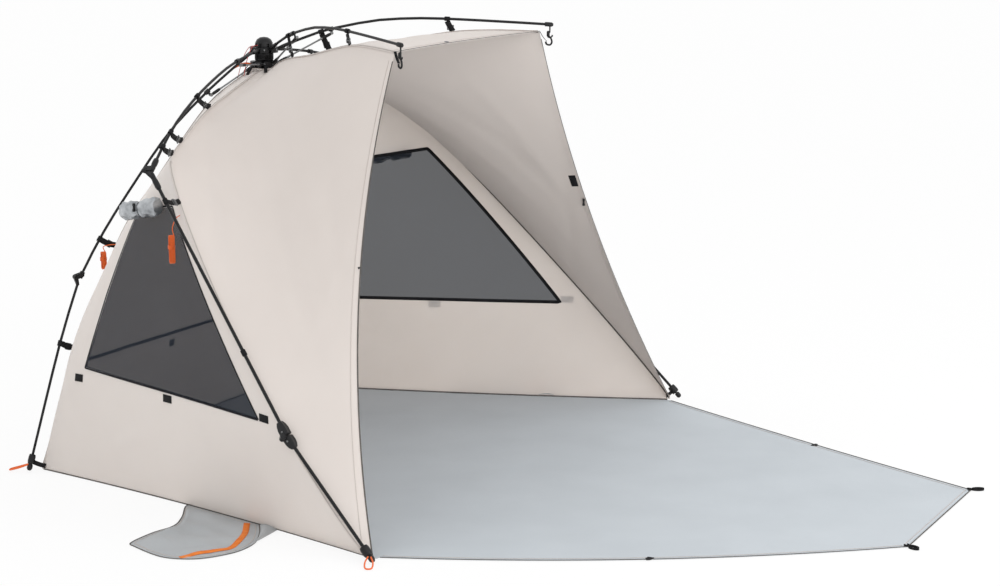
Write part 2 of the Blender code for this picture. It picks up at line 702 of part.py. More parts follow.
def canopy_seams(side):
    """Return the canopy's seams and edges on one side by name."""
    ridge = seam(side, AWNING_ANGLE, RIDGE_SHAPE)
    arm = seam(side, FRONT_ANGLE, ARM_SEAM_SHAPE)
    rear = seam(side, REAR_ANGLE, REAR_SEAM_SHAPE)
    foot = canopy_foot(side)
    out = Vector((side, 0.0, 0.0))
    back = Vector((0.0, 1.0, 0.0))
    bow = out * leg_seam_room(side, arm[-1], foot) + back * LEG_SEAM_SETBACK
    leg = bowed(arm[-1], foot, bow, 24, LEG_SEAM_FULLNESS)
    front = bowed(ridge[-1], foot, out * FRONT_EDGE_BOW[0] + back * FRONT_EDGE_BOW[1])
    hem = bowed(foot, rear[-1], -out * SIDE_HEM_BOW)
    return {"ridge": ridge, "arm": arm, "rear": rear, "leg": leg, "front": front, "hem": hem}


def coons(south, north, west, east):
    """Return the surface between four edges as a function of two shares."""
    def place(u, v):
        corners = (south[0] * (1 - u) + south[-1] * u) * (1 - v)
        corners += (north[0] * (1 - u) + north[-1] * u) * v
        rails = share_of(south, u) * (1 - v) + share_of(north, u) * v
        rungs = share_of(west, v) * (1 - u) + share_of(east, v) * u
        return rails + rungs - corners
    return place


def wall_surface(side):
    """Return the side wall: flat behind the leg, then rounding back to the rear seam.

    Each section is a weighted quadratic from the rear seam to the arm and leg seam, pulled
    towards a bend that starts at the shoulder and ends at the rear corner.
    """
    seams = canopy_seams(side)
    rear = seams["rear"]
    front = [*seams["arm"], *seams["leg"][1:]]
    shoulder = lengths(seams["arm"])[-1] / lengths(front)[-1]
    top = share_of(front, shoulder).lerp(share_of(rear, shoulder), WALL_BEND_START)
    flat = (rear[-1] - seams["leg"][-1]).normalized()
    bend = bowed(top, rear[-1], flat * WALL_BEND_BOW)
    hem_bow = Vector((-side * SIDE_HEM_BOW, 0.0, 0.0))

    def place(u, v):
        start = share_of(rear, v)
        end = share_of(front, v)
        if v < shoulder:
            pull = end.lerp(start, 0.5 + (WALL_BEND_START - 0.5) * v / shoulder)
        else:
            pull = share_of(bend, (v - shoulder) / (1 - shoulder))
        weights = ((1 - u) ** 2, 2 * u * (1 - u) * WALL_BEND_WEIGHT, u ** 2)
        flat_place = (start * weights[0] + pull * weights[1] + end * weights[2]) / sum(weights)
        share = weights[2] / sum(weights)
        return flat_place + hem_bow * (4 * share * (1 - share) * v ** 6)
    return place


def line_length(surface, fixed, along_u):
    """Return the length of one grid line of a surface."""
    steps = [step / 8 for step in range(9)]
    line = [surface(step, fixed) if along_u else surface(fixed, step) for step in steps]
    return lengths(line)[-1]


def panel_grid(surface, gaps, cells):
    """Return rows of points of a panel that stays a seam gap inside its four edges."""
    shares = [step / cells for step in range(cells + 1)]
    widths = [line_length(surface, share, True) for share in shares]
    heights = [line_length(surface, share, False) for share in shares]
    rows = []
    for row, down in enumerate(shares):
        places = []
        for column, across in enumerate(shares):
            u = gaps[2] / widths[row] * (1 - across) + (1 - gaps[3] / widths[row]) * across
            v = gaps[0] / heights[column] * (1 - down) + (1 - gaps[1] / heights[column]) * down
            places.append(surface(u, v))
        rows.append(places)
    return rows


def panel_mesh(name, surface, gaps, cells=PANEL_CELLS):
    """Return an open panel whose faces look away from the tent's inside."""
    rows = panel_grid(surface, gaps, cells)
    inside = Vector((0.0, HUB_Y * 0.7, UPPER_PIVOT_Z * 0.4))
    bm = bmesh.new()
    grid = [[bm.verts.new(place) for place in row] for row in rows]
    for row in range(cells):
        for column in range(cells):
            corners = (grid[row][column], grid[row][column + 1],
                       grid[row + 1][column + 1], grid[row + 1][column])
            bm.faces.new(corners)
    bmesh.ops.triangulate(bm, faces=bm.faces[:], quad_method="FIXED")
    bm.normal_update()
    facing = sum((face.calc_center_median() - inside).dot(face.normal) for face in bm.faces)
    if facing < 0:
        bmesh.ops.reverse_faces(bm, faces=bm.faces)
    mesh = bpy.data.meshes.new(name)
    bm.to_mesh(mesh)
    bm.free()
    return mesh


def panel(name, surface, gaps, material):
    """Make a canopy panel of cloth thickness, its outer face on the seams' surface."""
    obj = add_object(name, panel_mesh(name, surface, gaps), material)
    cloth = obj.modifiers.new("Cloth", "SOLIDIFY")
    cloth.thickness = SHEET_THICKNESS
    cloth.offset = -1.0
    return obj


def wall_point(side, depth, height):
    """Return the side wall's outer point at a depth and a height, with its outward normal."""
    mesh = panel_mesh("wall_guide", wall_surface(side), (0.0, 0.0, SEAM_GAP, SEAM_GAP))
    tree = BVHTree.FromPolygons([vertex.co for vertex in mesh.vertices],
                                [face.vertices for face in mesh.polygons])
    bpy.data.meshes.remove(mesh)
    place, normal, _, _ = tree.ray_cast(Vector((side * FRONT_WIDTH, depth, height)),
                                        Vector((-side, 0.0, 0.0)))
    return place, normal


def window_prism(name, side, shrink):
    """Return a prism through the side wall with the window's outline, shrunk by a gap."""
    middle_y = sum(place[0] for place in WINDOW_OUTLINE) / len(WINDOW_OUTLINE)
    middle_z = sum(place[1] for place in WINDOW_OUTLINE) / len(WINDOW_OUTLINE)
    outline = []
    for depth, height in WINDOW_OUTLINE:
        spoke = Vector((depth - middle_y, height - middle_z))
        spoke *= 1 - 2 * shrink / spoke.length
        outline.append((middle_y + spoke.x, middle_z + spoke.y))
    return prism(name, outline, 0.3, FRONT_WIDTH, lambda a, b, reach: Vector((side * reach, a, b)))


def build_side(side_name, side):
    """Make the canopy's panels, window, flap roll and sand pocket on one side."""
    seams = canopy_seams(side)
    gap = SEAM_GAP
    ridge = [seams["arm"][0], *seams["ridge"]]
    front = coons(seams["arm"], seams["front"], ridge, seams["leg"])
    panel("front_panel_" + side_name, front, (gap, 0.0, gap, gap), CANOPY_CLOTH)
    wall = panel("side_wall_" + side_name, wall_surface(side), (0.0, 0.0, gap, gap), CANOPY_CLOTH)
    combine(wall, window_prism("window_cut", side, 0.0), "DIFFERENCE")
    net = panel("window_mesh_" + side_name, wall_surface(side), (0.0, 0.0, gap, gap), MESH_CLOTH)
    combine(net, window_prism("window_fill", side, WINDOW_GAP), "INTERSECT")
    place, normal = wall_point(side, ROLL_FRONT_Y, ROLL_Z)
    start = place + normal * ROLL_STANDOFF
    end = start + Vector((-side * ROLL_LEAN, 1.0, 0.0)).normalized() * ROLL_LENGTH
    path = [start.lerp(end, step / 6) for step in range(7)]
    swell = [0.86, 1.0, 0.98, 0.88, 0.98, 1.0, 0.86]
    roll = tube_curve("window_roll_" + side_name, path, ROLL_RADIUS, swell, resolution=3)
    add_object(roll.name, roll, FLAP_CLOTH)
    inner = [share_of(seams["hem"], share) for share in
             (SAND_POCKET_SPAN[0], sum(SAND_POCKET_SPAN) / 2, SAND_POCKET_SPAN[1])]
    outline = [(place.x - side * SAND_POCKET_TUCK, place.y) for place in inner]
    outline += [(side * (FRONT_WIDTH / 2 + out), depth) for out, depth in SAND_POCKET_OUTLINE]
    pocket = prism("sand_pocket_" + side_name, outline, 0.0, SAND_POCKET_THICKNESS,
                   lambda a, b, height: Vector((a, b, height)))
    add_object(pocket.name, pocket, POCKET_CLOTH)


def build_middle():
    """Make the roof between the ridges and the rear wall between the rear seams."""
    left = canopy_seams(SIDES["left"])
    right = canopy_seams(SIDES["right"])
    gap = SEAM_GAP
    edge = bowed(left["ridge"][-1], right["ridge"][-1], Vector((0.0, ROOF_EDGE_BOW, 0.0)))
    hub_front = ring_arc(-AWNING_ANGLE, AWNING_ANGLE)
    roof = coons(hub_front, edge, left["ridge"], right["ridge"])
    panel("roof_panel", roof, (0.0, 0.0, gap, gap), CANOPY_CLOTH)
    hub_back = list(reversed(ring_arc(REAR_ANGLE, 360 - REAR_ANGLE)))
    hem = bowed(left["rear"][-1], right["rear"][-1], Vector((0.0, 0.0, 0.0)))
    rear = coons(hub_back, hem, left["rear"], right["rear"])
    panel("rear_wall", rear, (0.0, 0.0, gap, gap), CANOPY_CLOTH)


# Floor and porch

def ground_sheet(name, outline, material, parent=None):
    """Make a flat sheet on the ground."""
    mesh = prism(name, outline, 0.0, SHEET_THICKNESS, lambda a, b, height: Vector((a, b, height)))
    return add_object(name, mesh, material, parent)


def build_floor():
    """Make the floor inside the walls."""
    outline = []
    for side, order in ((SIDES["left"], 1), (SIDES["right"], -1)):
        hem = canopy_seams(side)["hem"]
        edge = [share_of(hem, step / 6) for step in range(7)][::order]
        for place in edge:
            lead = FLOOR_LEAD if place == hem[0] else 0.0
            outline.append((place.x - side * FLOOR_INSET, place.y - lead))
    ground_sheet("floor_sheet", outline, FLOOR_CLOTH)


def porch_edge(side_name):
    """Return one side edge of the porch from the floor line to its outer corner."""
    side = SIDES[side_name]
    start = Vector((side * (FRONT_WIDTH / 2 - PORCH_CORNER_INSET), -FIT_GAP, 0.0))
    end = Vector((side * PORCH_TIP_WIDTH / 2, -PORCH_DEPTH, 0.0))
    along = (end - start).normalized()
    out = along.cross(UP)
    out = out if out.x * side > 0 else -out
    return bowed(start, end, out * PORCH_BULGE[side_name], 8)


def build_porch():
    """Make the porch sheet, which lifts as the door, and the loop at each outer corner."""
    left = porch_edge("left")
    right = porch_edge("right")
    outline = [(place.x, place.y) for place in left + right[::-1]]
    ground_sheet("porch_sheet", outline, FLOOR_CLOTH, PORCH_JOINT)
    for side_name in SIDES:
        corner = porch_edge(side_name)[-1]
        away = (corner - Vector((0.0, -PORCH_DEPTH * 0.55, 0.0))).normalized()
        square = away.cross(UP)
        centre = corner + away * (0.020 + LOOP_WIRE_RADIUS + FIT_GAP) + UP * (LOOP_WIRE_RADIUS + FIT_GAP)
        ring = []
        for step in range(14):
            turn = 2 * math.pi * step / 14
            ring.append(centre + away * (0.020 * math.cos(turn)) + square * (0.012 * math.sin(turn)))
        loop = tube_curve("porch_loop_" + side_name, ring, LOOP_WIRE_RADIUS, cyclic=True)
        add_object(loop.name, loop, BLACK_FABRIC, PORCH_JOINT)


# Cords

def hank_path(top, down, wide, deep, run):
    """Return the loops of a hank that hangs from a point, drawn in at the waist.

    Each loop is a stretched ring, and the cord steps one pitch deeper along the rising run.
    """
    path = []
    turns = GUY_LOOPS * GUY_LOOP_POINTS
    for index in range(turns + 1):
        turn, share = divmod(index, GUY_LOOP_POINTS)
        angle = 2 * math.pi * share / GUY_LOOP_POINTS
        fall = (1 - math.cos(angle)) / 2
        waist = 1 - GUY_WAIST * math.exp(-((fall - 0.5) / 0.22) ** 2)
        rise = max(0.0, share / GUY_LOOP_POINTS * 2 - 1)
        depth = (turn + rise * rise * (3 - 2 * rise) - GUY_LOOPS / 2) * GUY_LOOP_PITCH
        path.append(top + down * (fall * run) + wide * (math.sin(angle) * GUY_LOOP_HALF_WIDTH * waist)
                    + deep * depth)
    return path


def least_gap(path, radius):
    """Return the least gap between stretches of a cord that are not neighbours on it."""
    total = lengths(path)
    least = math.inf
    for index, place in enumerate(path):
        for other in range(index + 1, len(path)):
            if total[other] - total[index] > radius * 10:
                least = min(least, (path[other] - place).length)
    return least - 2 * radius


def build_guy_line(name, lead, wide, deep, run):
    """Make a guy line: its lead from the canopy and the hank that it is wound into."""
    loops = hank_path(lead[-1], -UP, wide, deep, run)
    start = smooth([*lead[:-1], loops[0]], 4)
    path = [*start[:-1], *loops]
    curve = tube_curve(name, path, GUY_CORD_RADIUS, resolution=1)
    add_object(name, curve, ORANGE_CORD)
    print("%s: least gap to itself %.2f mm, length %.2f m"
          % (name, least_gap(path, GUY_CORD_RADIUS) * 1000, lengths(path)[-1]))


def build_cords():
    """Make the two guy lines on the left side and the pull cord on the hub."""
    side = SIDES["left"]
    anchor, normal = wall_point(side, *FRONT_GUY_ANCHOR)
    level = Vector((normal.x, normal.y, 0.0)).normalized()
    across = UP.cross(level)
    lead = [anchor + normal * GUY_CORD_START, anchor + level * 0.016 - UP * 0.010,
            anchor + level * 0.028 - UP * 0.040, anchor + level * 0.032 - UP * 0.062]
    build_guy_line("guy_line_front", lead, across, level, FRONT_GUY_RUN)
    away = outward(side, REAR_ANGLE)
    anchor, normal = wall_point(side, *REAR_GUY_ANCHOR)
    hook = polar(side, REAR_ANGLE, *REAR_GUY_HOOK)
    lead = [anchor + normal * GUY_CORD_START, anchor.lerp(hook, 0.6) + UP * 0.006,
            hook + UP * 0.004, hook - UP * 0.012]
    build_guy_line("guy_line_rear", lead, UP.cross(away), away, REAR_GUY_RUN)
    start = polar(side, 100.0, 0.0327, UPPER_PIVOT_Z + 0.016)
    route = [start, polar(side, 100.0, 0.060, UPPER_PIVOT_Z + 0.012),
             polar(side, 100.0, 0.085, UPPER_PIVOT_Z - 0.020),
             polar(side, 101.0, 0.098, UPPER_PIVOT_Z - 0.060),
             polar(side, 102.0, 0.104, UPPER_PIVOT_Z - 0.088)]
    cord = tube_curve("pull_cord", smooth(route, 4), PULL_CORD_RADIUS)
    add_object("pull_cord", cord, ORANGE_CORD, UPPER_HUB_JOINT)


# Assembly

def centre_on_origin():
    """Move the tent so that its box stands on the ground, centred on the origin."""
    bpy.context.view_layer.update()
    graph = bpy.context.evaluated_depsgraph_get()
    low = Vector((math.inf,) * 3)
    high = Vector((-math.inf,) * 3)
    for obj in PARTS.objects:
        if obj.type == "EMPTY":
            continue
        shape = obj.evaluated_get(graph)
        mesh = shape.to_mesh()
        for vertex in mesh.vertices:
            place = shape.matrix_world @ vertex.co
            low = Vector(map(min, low, place))
            high = Vector(map(max, high, place))
        shape.to_mesh_clear()
    TENT.location = (-(low.x + high.x) / 2, -(low.y + high.y) / 2, -low.z)


def shade_round_pieces():
    """Shade the parts smooth, with their corners kept sharp."""
    for mesh in bpy.data.meshes:
        mesh.shade_smooth()
        mesh.set_sharp_from_angle(angle=math.radians(35))


clear_scene()
PARTS = new_collection("pop_up_tent")
CUTTERS = new_collection("tent_cutters", hidden=True)
JOINT_POINTS = {}

BLACK_PLASTIC = principled("black_plastic", (0.015, 0.015, 0.017), 0.45)
POLE_BLACK = principled("pole_black", (0.018, 0.018, 0.020), 0.38)
STEEL = principled("strut_steel", (0.32, 0.33, 0.34), 0.35, 0.9)
CANOPY_CLOTH = principled("canopy_cloth", (0.68, 0.63, 0.57), 0.85)
FLOOR_CLOTH = principled("floor_cloth", (0.52, 0.56, 0.60), 0.75)
MESH_CLOTH = principled("mesh_cloth", (0.07, 0.075, 0.09), 0.90)
FLAP_CLOTH = principled("flap_cloth", (0.50, 0.52, 0.54), 0.55)
POCKET_CLOTH = principled("pocket_cloth", (0.62, 0.64, 0.64), 0.80)
BLACK_FABRIC = principled("black_webbing", (0.02, 0.02, 0.022), 0.80)
ORANGE_CORD = principled("orange_cord", (0.85, 0.16, 0.02), 0.70)

TENT = joint_empty("tent", (0.0, 0.0, 0.0), None)
UPPER_HUB_JOINT = joint_empty("upper_hub_slide", (0.0, HUB_Y, UPPER_PIVOT_Z), TENT)
PORCH_JOINT = joint_empty("porch_hinge", (0.0, 0.0, SHEET_THICKNESS), TENT)

build_hubs()
for side_label, side_sign in SIDES.items():
    build_front_leg(side_label, side_sign)
    build_rear_leg(side_label, side_sign)
    build_awning_pole(side_label, side_sign)
    for pole_kind in POLE_ANGLE:
        build_strut(side_label, side_sign, pole_kind)
    build_side(side_label, side_sign)
build_middle()
build_floor()
build_porch()
build_cords()
shade_round_pieces()
centre_on_origin()
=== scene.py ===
"""Looks of a pop-up beach tent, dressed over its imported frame.

Metres, +Z up, and the opening faces -Y. Places called plan places are measured from the
middle of the front floor line, and plan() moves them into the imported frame.
"""
import logging
import math
from collections.abc import Callable, Sequence
from dataclasses import dataclass, field, replace
from enum import Enum

import bmesh
import bpy
import numpy as np
from mathutils import Matrix, Vector
from mathutils.bvhtree import BVHTree


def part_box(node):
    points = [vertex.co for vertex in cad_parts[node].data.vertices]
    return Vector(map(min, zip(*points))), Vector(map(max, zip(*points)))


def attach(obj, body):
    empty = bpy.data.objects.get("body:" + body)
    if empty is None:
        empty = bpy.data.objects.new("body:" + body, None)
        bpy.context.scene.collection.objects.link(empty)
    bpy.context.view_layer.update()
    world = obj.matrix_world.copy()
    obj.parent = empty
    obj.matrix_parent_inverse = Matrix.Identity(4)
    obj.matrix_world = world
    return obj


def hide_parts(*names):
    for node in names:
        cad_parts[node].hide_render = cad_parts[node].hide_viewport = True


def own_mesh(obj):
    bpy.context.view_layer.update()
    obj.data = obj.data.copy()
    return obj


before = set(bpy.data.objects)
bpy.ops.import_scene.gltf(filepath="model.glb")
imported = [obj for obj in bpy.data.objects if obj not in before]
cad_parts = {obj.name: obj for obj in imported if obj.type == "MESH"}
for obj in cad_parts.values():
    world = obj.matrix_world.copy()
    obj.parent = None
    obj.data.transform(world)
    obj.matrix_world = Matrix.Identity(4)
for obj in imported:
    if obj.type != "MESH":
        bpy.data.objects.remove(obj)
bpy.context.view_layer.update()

Array = np.ndarray
Piece = bpy.types.Object
Socket = bpy.types.NodeSocket
Surface = Callable[[Array, Array], Array]
Pair = tuple[float, float]
Triple = tuple[float, float, float]
Colour = Triple

LOG = logging.getLogger("tent_looks")
FLOOR_FRONT_STEP = 0.0002
FRONT_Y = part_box("floor_sheet")[0].y - FLOOR_FRONT_STEP
UP = np.array((0.0, 0.0, 1.0))
FULL_TURN = 2 * math.pi
TINY = 1e-12
SEAM_GAP = 1e-6
WELD_GAP = 1e-5
NEARLY = 0.9
ALONG_AXIS = 1e-4
BEVEL_ANGLE = 35.0
BOW_POINTS = 49
BESIDE_TENT = 2.0
# Corners of a band's section by shares of its width and thickness, and the run round them in widths
BAND_SECTION = ((-0.5, 0.0), (-0.46, 1.0), (0.0, 1.12), (0.46, 1.0), (0.5, 0.0), (0.0, 0.0), (-0.5, 0.0))
BAND_RUN = np.array((0.0, 0.04, 0.5, 0.96, 1.0, 1.5, 2.0))


class Side(Enum):
    """The tent's two halves, seen from behind the opening."""

    LEFT = -1.0
    RIGHT = 1.0

    @property
    def label(self) -> str:
        """Name used in the frame's nodes and bodies."""
        return self.name.lower()


class Pole(Enum):
    """The six hub poles by kind, with the angle round the hub from straight ahead."""

    AWNING = 33.45
    FRONT = 80.0
    REAR = 121.0


def plan(x: float, depth: float, height: float) -> Array:
    """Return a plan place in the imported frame."""
    return np.array((x, depth + FRONT_Y, height))


def unit(vector: Array) -> Array:
    """Return vectors of length one."""
    return vector / np.maximum(np.linalg.norm(vector, axis=-1, keepdims=True), TINY)


def soft_step(value: Array) -> Array:
    """Return a smooth rise from 0 to 1."""
    value = np.clip(value, 0.0, 1.0)
    return value * value * (3 - 2 * value)


def round_grid(steps: int, turns: int) -> list[Array]:
    """Return rows of shares from 0 to 1, and columns of angles through a full turn."""
    return np.meshgrid(np.linspace(0.0, 1.0, steps), np.linspace(0.0, FULL_TURN, turns), indexing="ij")


def circle(steps: int) -> Array:
    """Return the angles of a full turn, one row each."""
    return np.linspace(0.0, FULL_TURN, steps)[:, None]


def waves(places: Array, rows: Sequence[tuple]) -> Array:
    """Return the sum of waves at places, each with its way, its start and its height."""
    return sum(height * np.sin(places @ way + start) for way, start, height in rows)


@dataclass(frozen=True)
class Line:
    """A line through places, one row each, read by the share of its length."""

    points: Array

    @classmethod
    def through(cls, places: Sequence[Sequence[float]], per_span: int = 10) -> "Line":
        """Return a smooth line through places.

        Args:
            places: the places that the line passes.
            per_span: points made for each span.

        Returns:
            The line, a Catmull-Rom curve.
        """
        knots = np.asarray(places, float)
        knots = np.vstack((2 * knots[0] - knots[1], knots, 2 * knots[-1] - knots[-2]))
        t = np.arange(per_span)[:, None] / per_span
        spans = []
        for before, start, end, after in zip(knots, knots[1:], knots[2:], knots[3:]):
            spans.append((2 * start + (end - before) * t
                          + (2 * before - 5 * start + 4 * end - after) * t ** 2
                          + (3 * start - before - 3 * end + after) * t ** 3) / 2)
        return cls(np.vstack((*spans, knots[-2])))

    @classmethod
    def straight(cls, start: Array, end: Array) -> "Line":
        """Return the straight line between two places."""
        return cls(np.array((start, end)))

    @classmethod
    def bowed(cls, start: Array, end: Array, bow: Array, fullness: float = 1.0) -> "Line":
        """Return a line that bows at its middle, flatter there with a fullness below 1."""
        t = np.linspace(0.0, 1.0, BOW_POINTS)[:, None]
        return cls(start * (1 - t) + end * t + bow * (4 * t * (1 - t)) ** fullness)

    def running(self) -> Array:
        """Return the length run at each point."""
        return np.concatenate(([0.0], np.cumsum(np.linalg.norm(np.diff(self.points, axis=0), axis=1))))

    @property
    def length(self) -> float:
        """Length of the whole line."""
        return float(self.running()[-1])

    def at(self, share: float | Array) -> Array:
        """Return the place at a share of the length.

        Args:
            share: one share or several.

        Returns:
            A place for each share.
        """
        run = self.running()
        reach = np.clip(share, 0.0, 1.0) * run[-1]
        return np.stack([np.interp(reach, run, self.points[:, axis]) for axis in range(3)], axis=-1)

    def along(self, share: float, step: float = 0.01) -> Array:
        """Return the line's direction at a share of the length."""
        return unit(self.at(min(share + step, 1.0)) - self.at(max(share - step, 0.0)))

    def part(self, start: float, end: float, step: float = 0.012) -> Array:
        """Return even places between two shares of the line, about a step apart."""
        count = max(2, int(abs(end - start) * self.length / step) + 1)
        return self.at(np.linspace(start, end, count))


# Mesh helpers

def new_piece(name: str, places: Array, faces: Sequence[Sequence[int]], corners: Array) -> Piece:
    """Make an object from places and faces.

    Args:
        name: piece name.
        places: vertex places, one row each.
        faces: vertex numbers of each face.
        corners: UV of each vertex, in metres.

    Returns:
        The new object, at the origin.
    """
    mesh = bpy.data.meshes.new(name)
    mesh.from_pydata(places.tolist(), [], [list(face) for face in faces])
    layer = mesh.uv_layers.new(name="UVMap")
    order = np.empty(len(mesh.loops), np.int32)
    mesh.loops.foreach_get("vertex_index", order)
    layer.data.foreach_set("uv", corners[order].astype(np.float32).ravel())
    mesh.polygons.foreach_set("use_smooth", np.ones(len(mesh.polygons), bool))
    mesh.update()
    piece = bpy.data.objects.new(name, mesh)
    bpy.context.scene.collection.objects.link(piece)
    return piece


def own_copy(piece: Piece, name: str) -> Piece:
    """Return a copy of a piece with its own mesh.

    Args:
        piece: the piece.
        name: name of the copy.

    Returns:
        The copy, in the scene.
    """
    made = piece.copy()
    made.data = piece.data.copy()
    made.name = made.data.name = name
    bpy.context.scene.collection.objects.link(made)
    return made


def only(piece: Piece) -> None:
    """Make a piece the only selected and the active one.

    Args:
        piece: the piece.
    """
    bpy.ops.object.select_all(action="DESELECT")
    piece.select_set(True)
    bpy.context.view_layer.objects.active = piece


def apply_modifiers(piece: Piece, smooth: float = 0.0) -> Piece:
    """Apply all of a piece's modifiers in order, and shade it.

    Args:
        piece: the piece.
        smooth: edges below this angle are shaded smooth, in degrees, and 0 leaves all as they are.

    Returns:
        The same piece.
    """
    only(piece)
    for name in [modifier.name for modifier in piece.modifiers]:
        bpy.ops.object.modifier_apply(modifier=name)
    if smooth:
        bpy.ops.object.shade_smooth_by_angle(angle=math.radians(smooth))
    return piece


def thicken(piece: Piece, thickness: float, offset: float = -1.0, smooth: float = 50.0) -> Piece:
    """Give an open sheet its thickness.

    Args:
        piece: the sheet.
        thickness: cloth thickness.
        offset: -1 grows it inwards, 1 outwards.
        smooth: edges below this angle are shaded smooth, in degrees.

    Returns:
        The same piece, closed.
    """
    wall = piece.modifiers.new("Cloth", "SOLIDIFY")
    wall.thickness = thickness
    wall.offset = offset
    return apply_modifiers(piece, smooth)


def join(name: str, pieces: Sequence[Piece]) -> Piece:
    """Join pieces into the first one.

    Args:
        name: name of the joined piece.
        pieces: the pieces.

    Returns:
        The first piece, which holds all of them.
    """
    only(pieces[0])
    for piece in pieces:
        piece.select_set(True)
    bpy.ops.object.join()
    pieces[0].name = pieces[0].data.name = name
    return pieces[0]


def close_shell(piece: Piece, gap: float = SEAM_GAP) -> Piece:
    """Weld a mesh along its seams, fill its open ends and turn its faces outwards.

    Args:
        piece: the mesh.
        gap: places nearer than this are welded.

    Returns:
        The same piece.
    """
    shell = bmesh.new()
    shell.from_mesh(piece.data)
    bmesh.ops.remove_doubles(shell, verts=shell.verts, dist=gap)
    bmesh.ops.holes_fill(shell, edges=[edge for edge in shell.edges if edge.is_boundary])
    bmesh.ops.recalc_face_normals(shell, faces=shell.faces)
    shell.to_mesh(piece.data)
    shell.free()
    return piece


def frames_along(line: Array) -> tuple[Array, Array]:
    """Return two directions square to a line that twist as little as they can.

    Args:
        line: places of the line.

    Returns:
        First and second directions, one row for each place.
    """
    along = unit(np.gradient(line, axis=0))
    helper = UP if abs(along[0] @ UP) < NEARLY else np.array((1.0, 0.0, 0.0))
    first = [unit(np.cross(along[0], helper))]
    for direction in along[1:]:
        first.append(unit(first[-1] - direction * (first[-1] @ direction)))
    return np.array(first), np.cross(along, np.array(first))


def grid(name: str, places: Array, corners: Array) -> Piece:
    """Make an open sheet of four-sided faces from rows of places.

    Args:
        name: piece name.
        places: rows and columns of places.
        corners: UV of each place.

    Returns:
        The open sheet.
    """
    rows, columns = places.shape[:2]
    number = np.arange(rows * columns).reshape(rows, columns)
    faces = np.stack((number[:-1, :-1], number[:-1, 1:], number[1:, 1:], number[1:, :-1]), axis=-1)
    return new_piece(name, places.reshape(-1, 3), faces.reshape(-1, 4).tolist(), corners.reshape(-1, 2))


def sweep(name: str, line: Array, rings: Array, around: Array) -> Piece:
    """Make a closed piece of rings that follow a line.

    Args:
        name: piece name.
        line: places of the line.
        rings: places of each ring.
        around: length run round a ring.

    Returns:
        The piece, with UV in metres, U round it and V along it.
    """
    run = Line(line).running()
    corners = np.stack(np.broadcast_arrays(around[None, :], run[:, None]), axis=-1)
    return close_shell(grid(name, rings, corners))


def tube(name: str, line: Array, radius: float | Array, sides: int = 8) -> Piece:
    """Make a round tube along a line.

    Args:
        name: piece name.
        line: centre line places.
        radius: tube radius, or one for each place.
        sides: faces round the tube.

    Returns:
        The closed tube.
    """
    first, second = frames_along(line)
    radii = np.broadcast_to(radius, (len(line),))
    turn = np.linspace(0.0, FULL_TURN, sides + 1)
    spokes = first[:, None] * np.cos(turn)[None, :, None] + second[:, None] * np.sin(turn)[None, :, None]
    return sweep(name, line, line[:, None] + spokes * radii[:, None, None], turn * float(np.max(radii)))


def ribbon(name: str, line: Array, facing: Array, width: float, thickness: float, lift: float = 0.0) -> Piece:
    """Make a flat band along a line, with its inner face on the line.

    Args:
        name: piece name.
        line: places of the band's middle.
        facing: the way the band faces, or one way for each place.
        width: band width.
        thickness: band thickness.
        lift: gap between the line and the band's inner face.

    Returns:
        The closed band.
    """
    along = unit(np.gradient(line, axis=0))
    normals = unit(facing - along * np.sum(facing * along, axis=1, keepdims=True))
    across = np.cross(along, normals)
    rings = np.stack([line + across * (side * width) + normals * (lift + up * thickness)
                      for side, up in BAND_SECTION], axis=1)
    return sweep(name, line, rings, BAND_RUN * width)


# Finishes

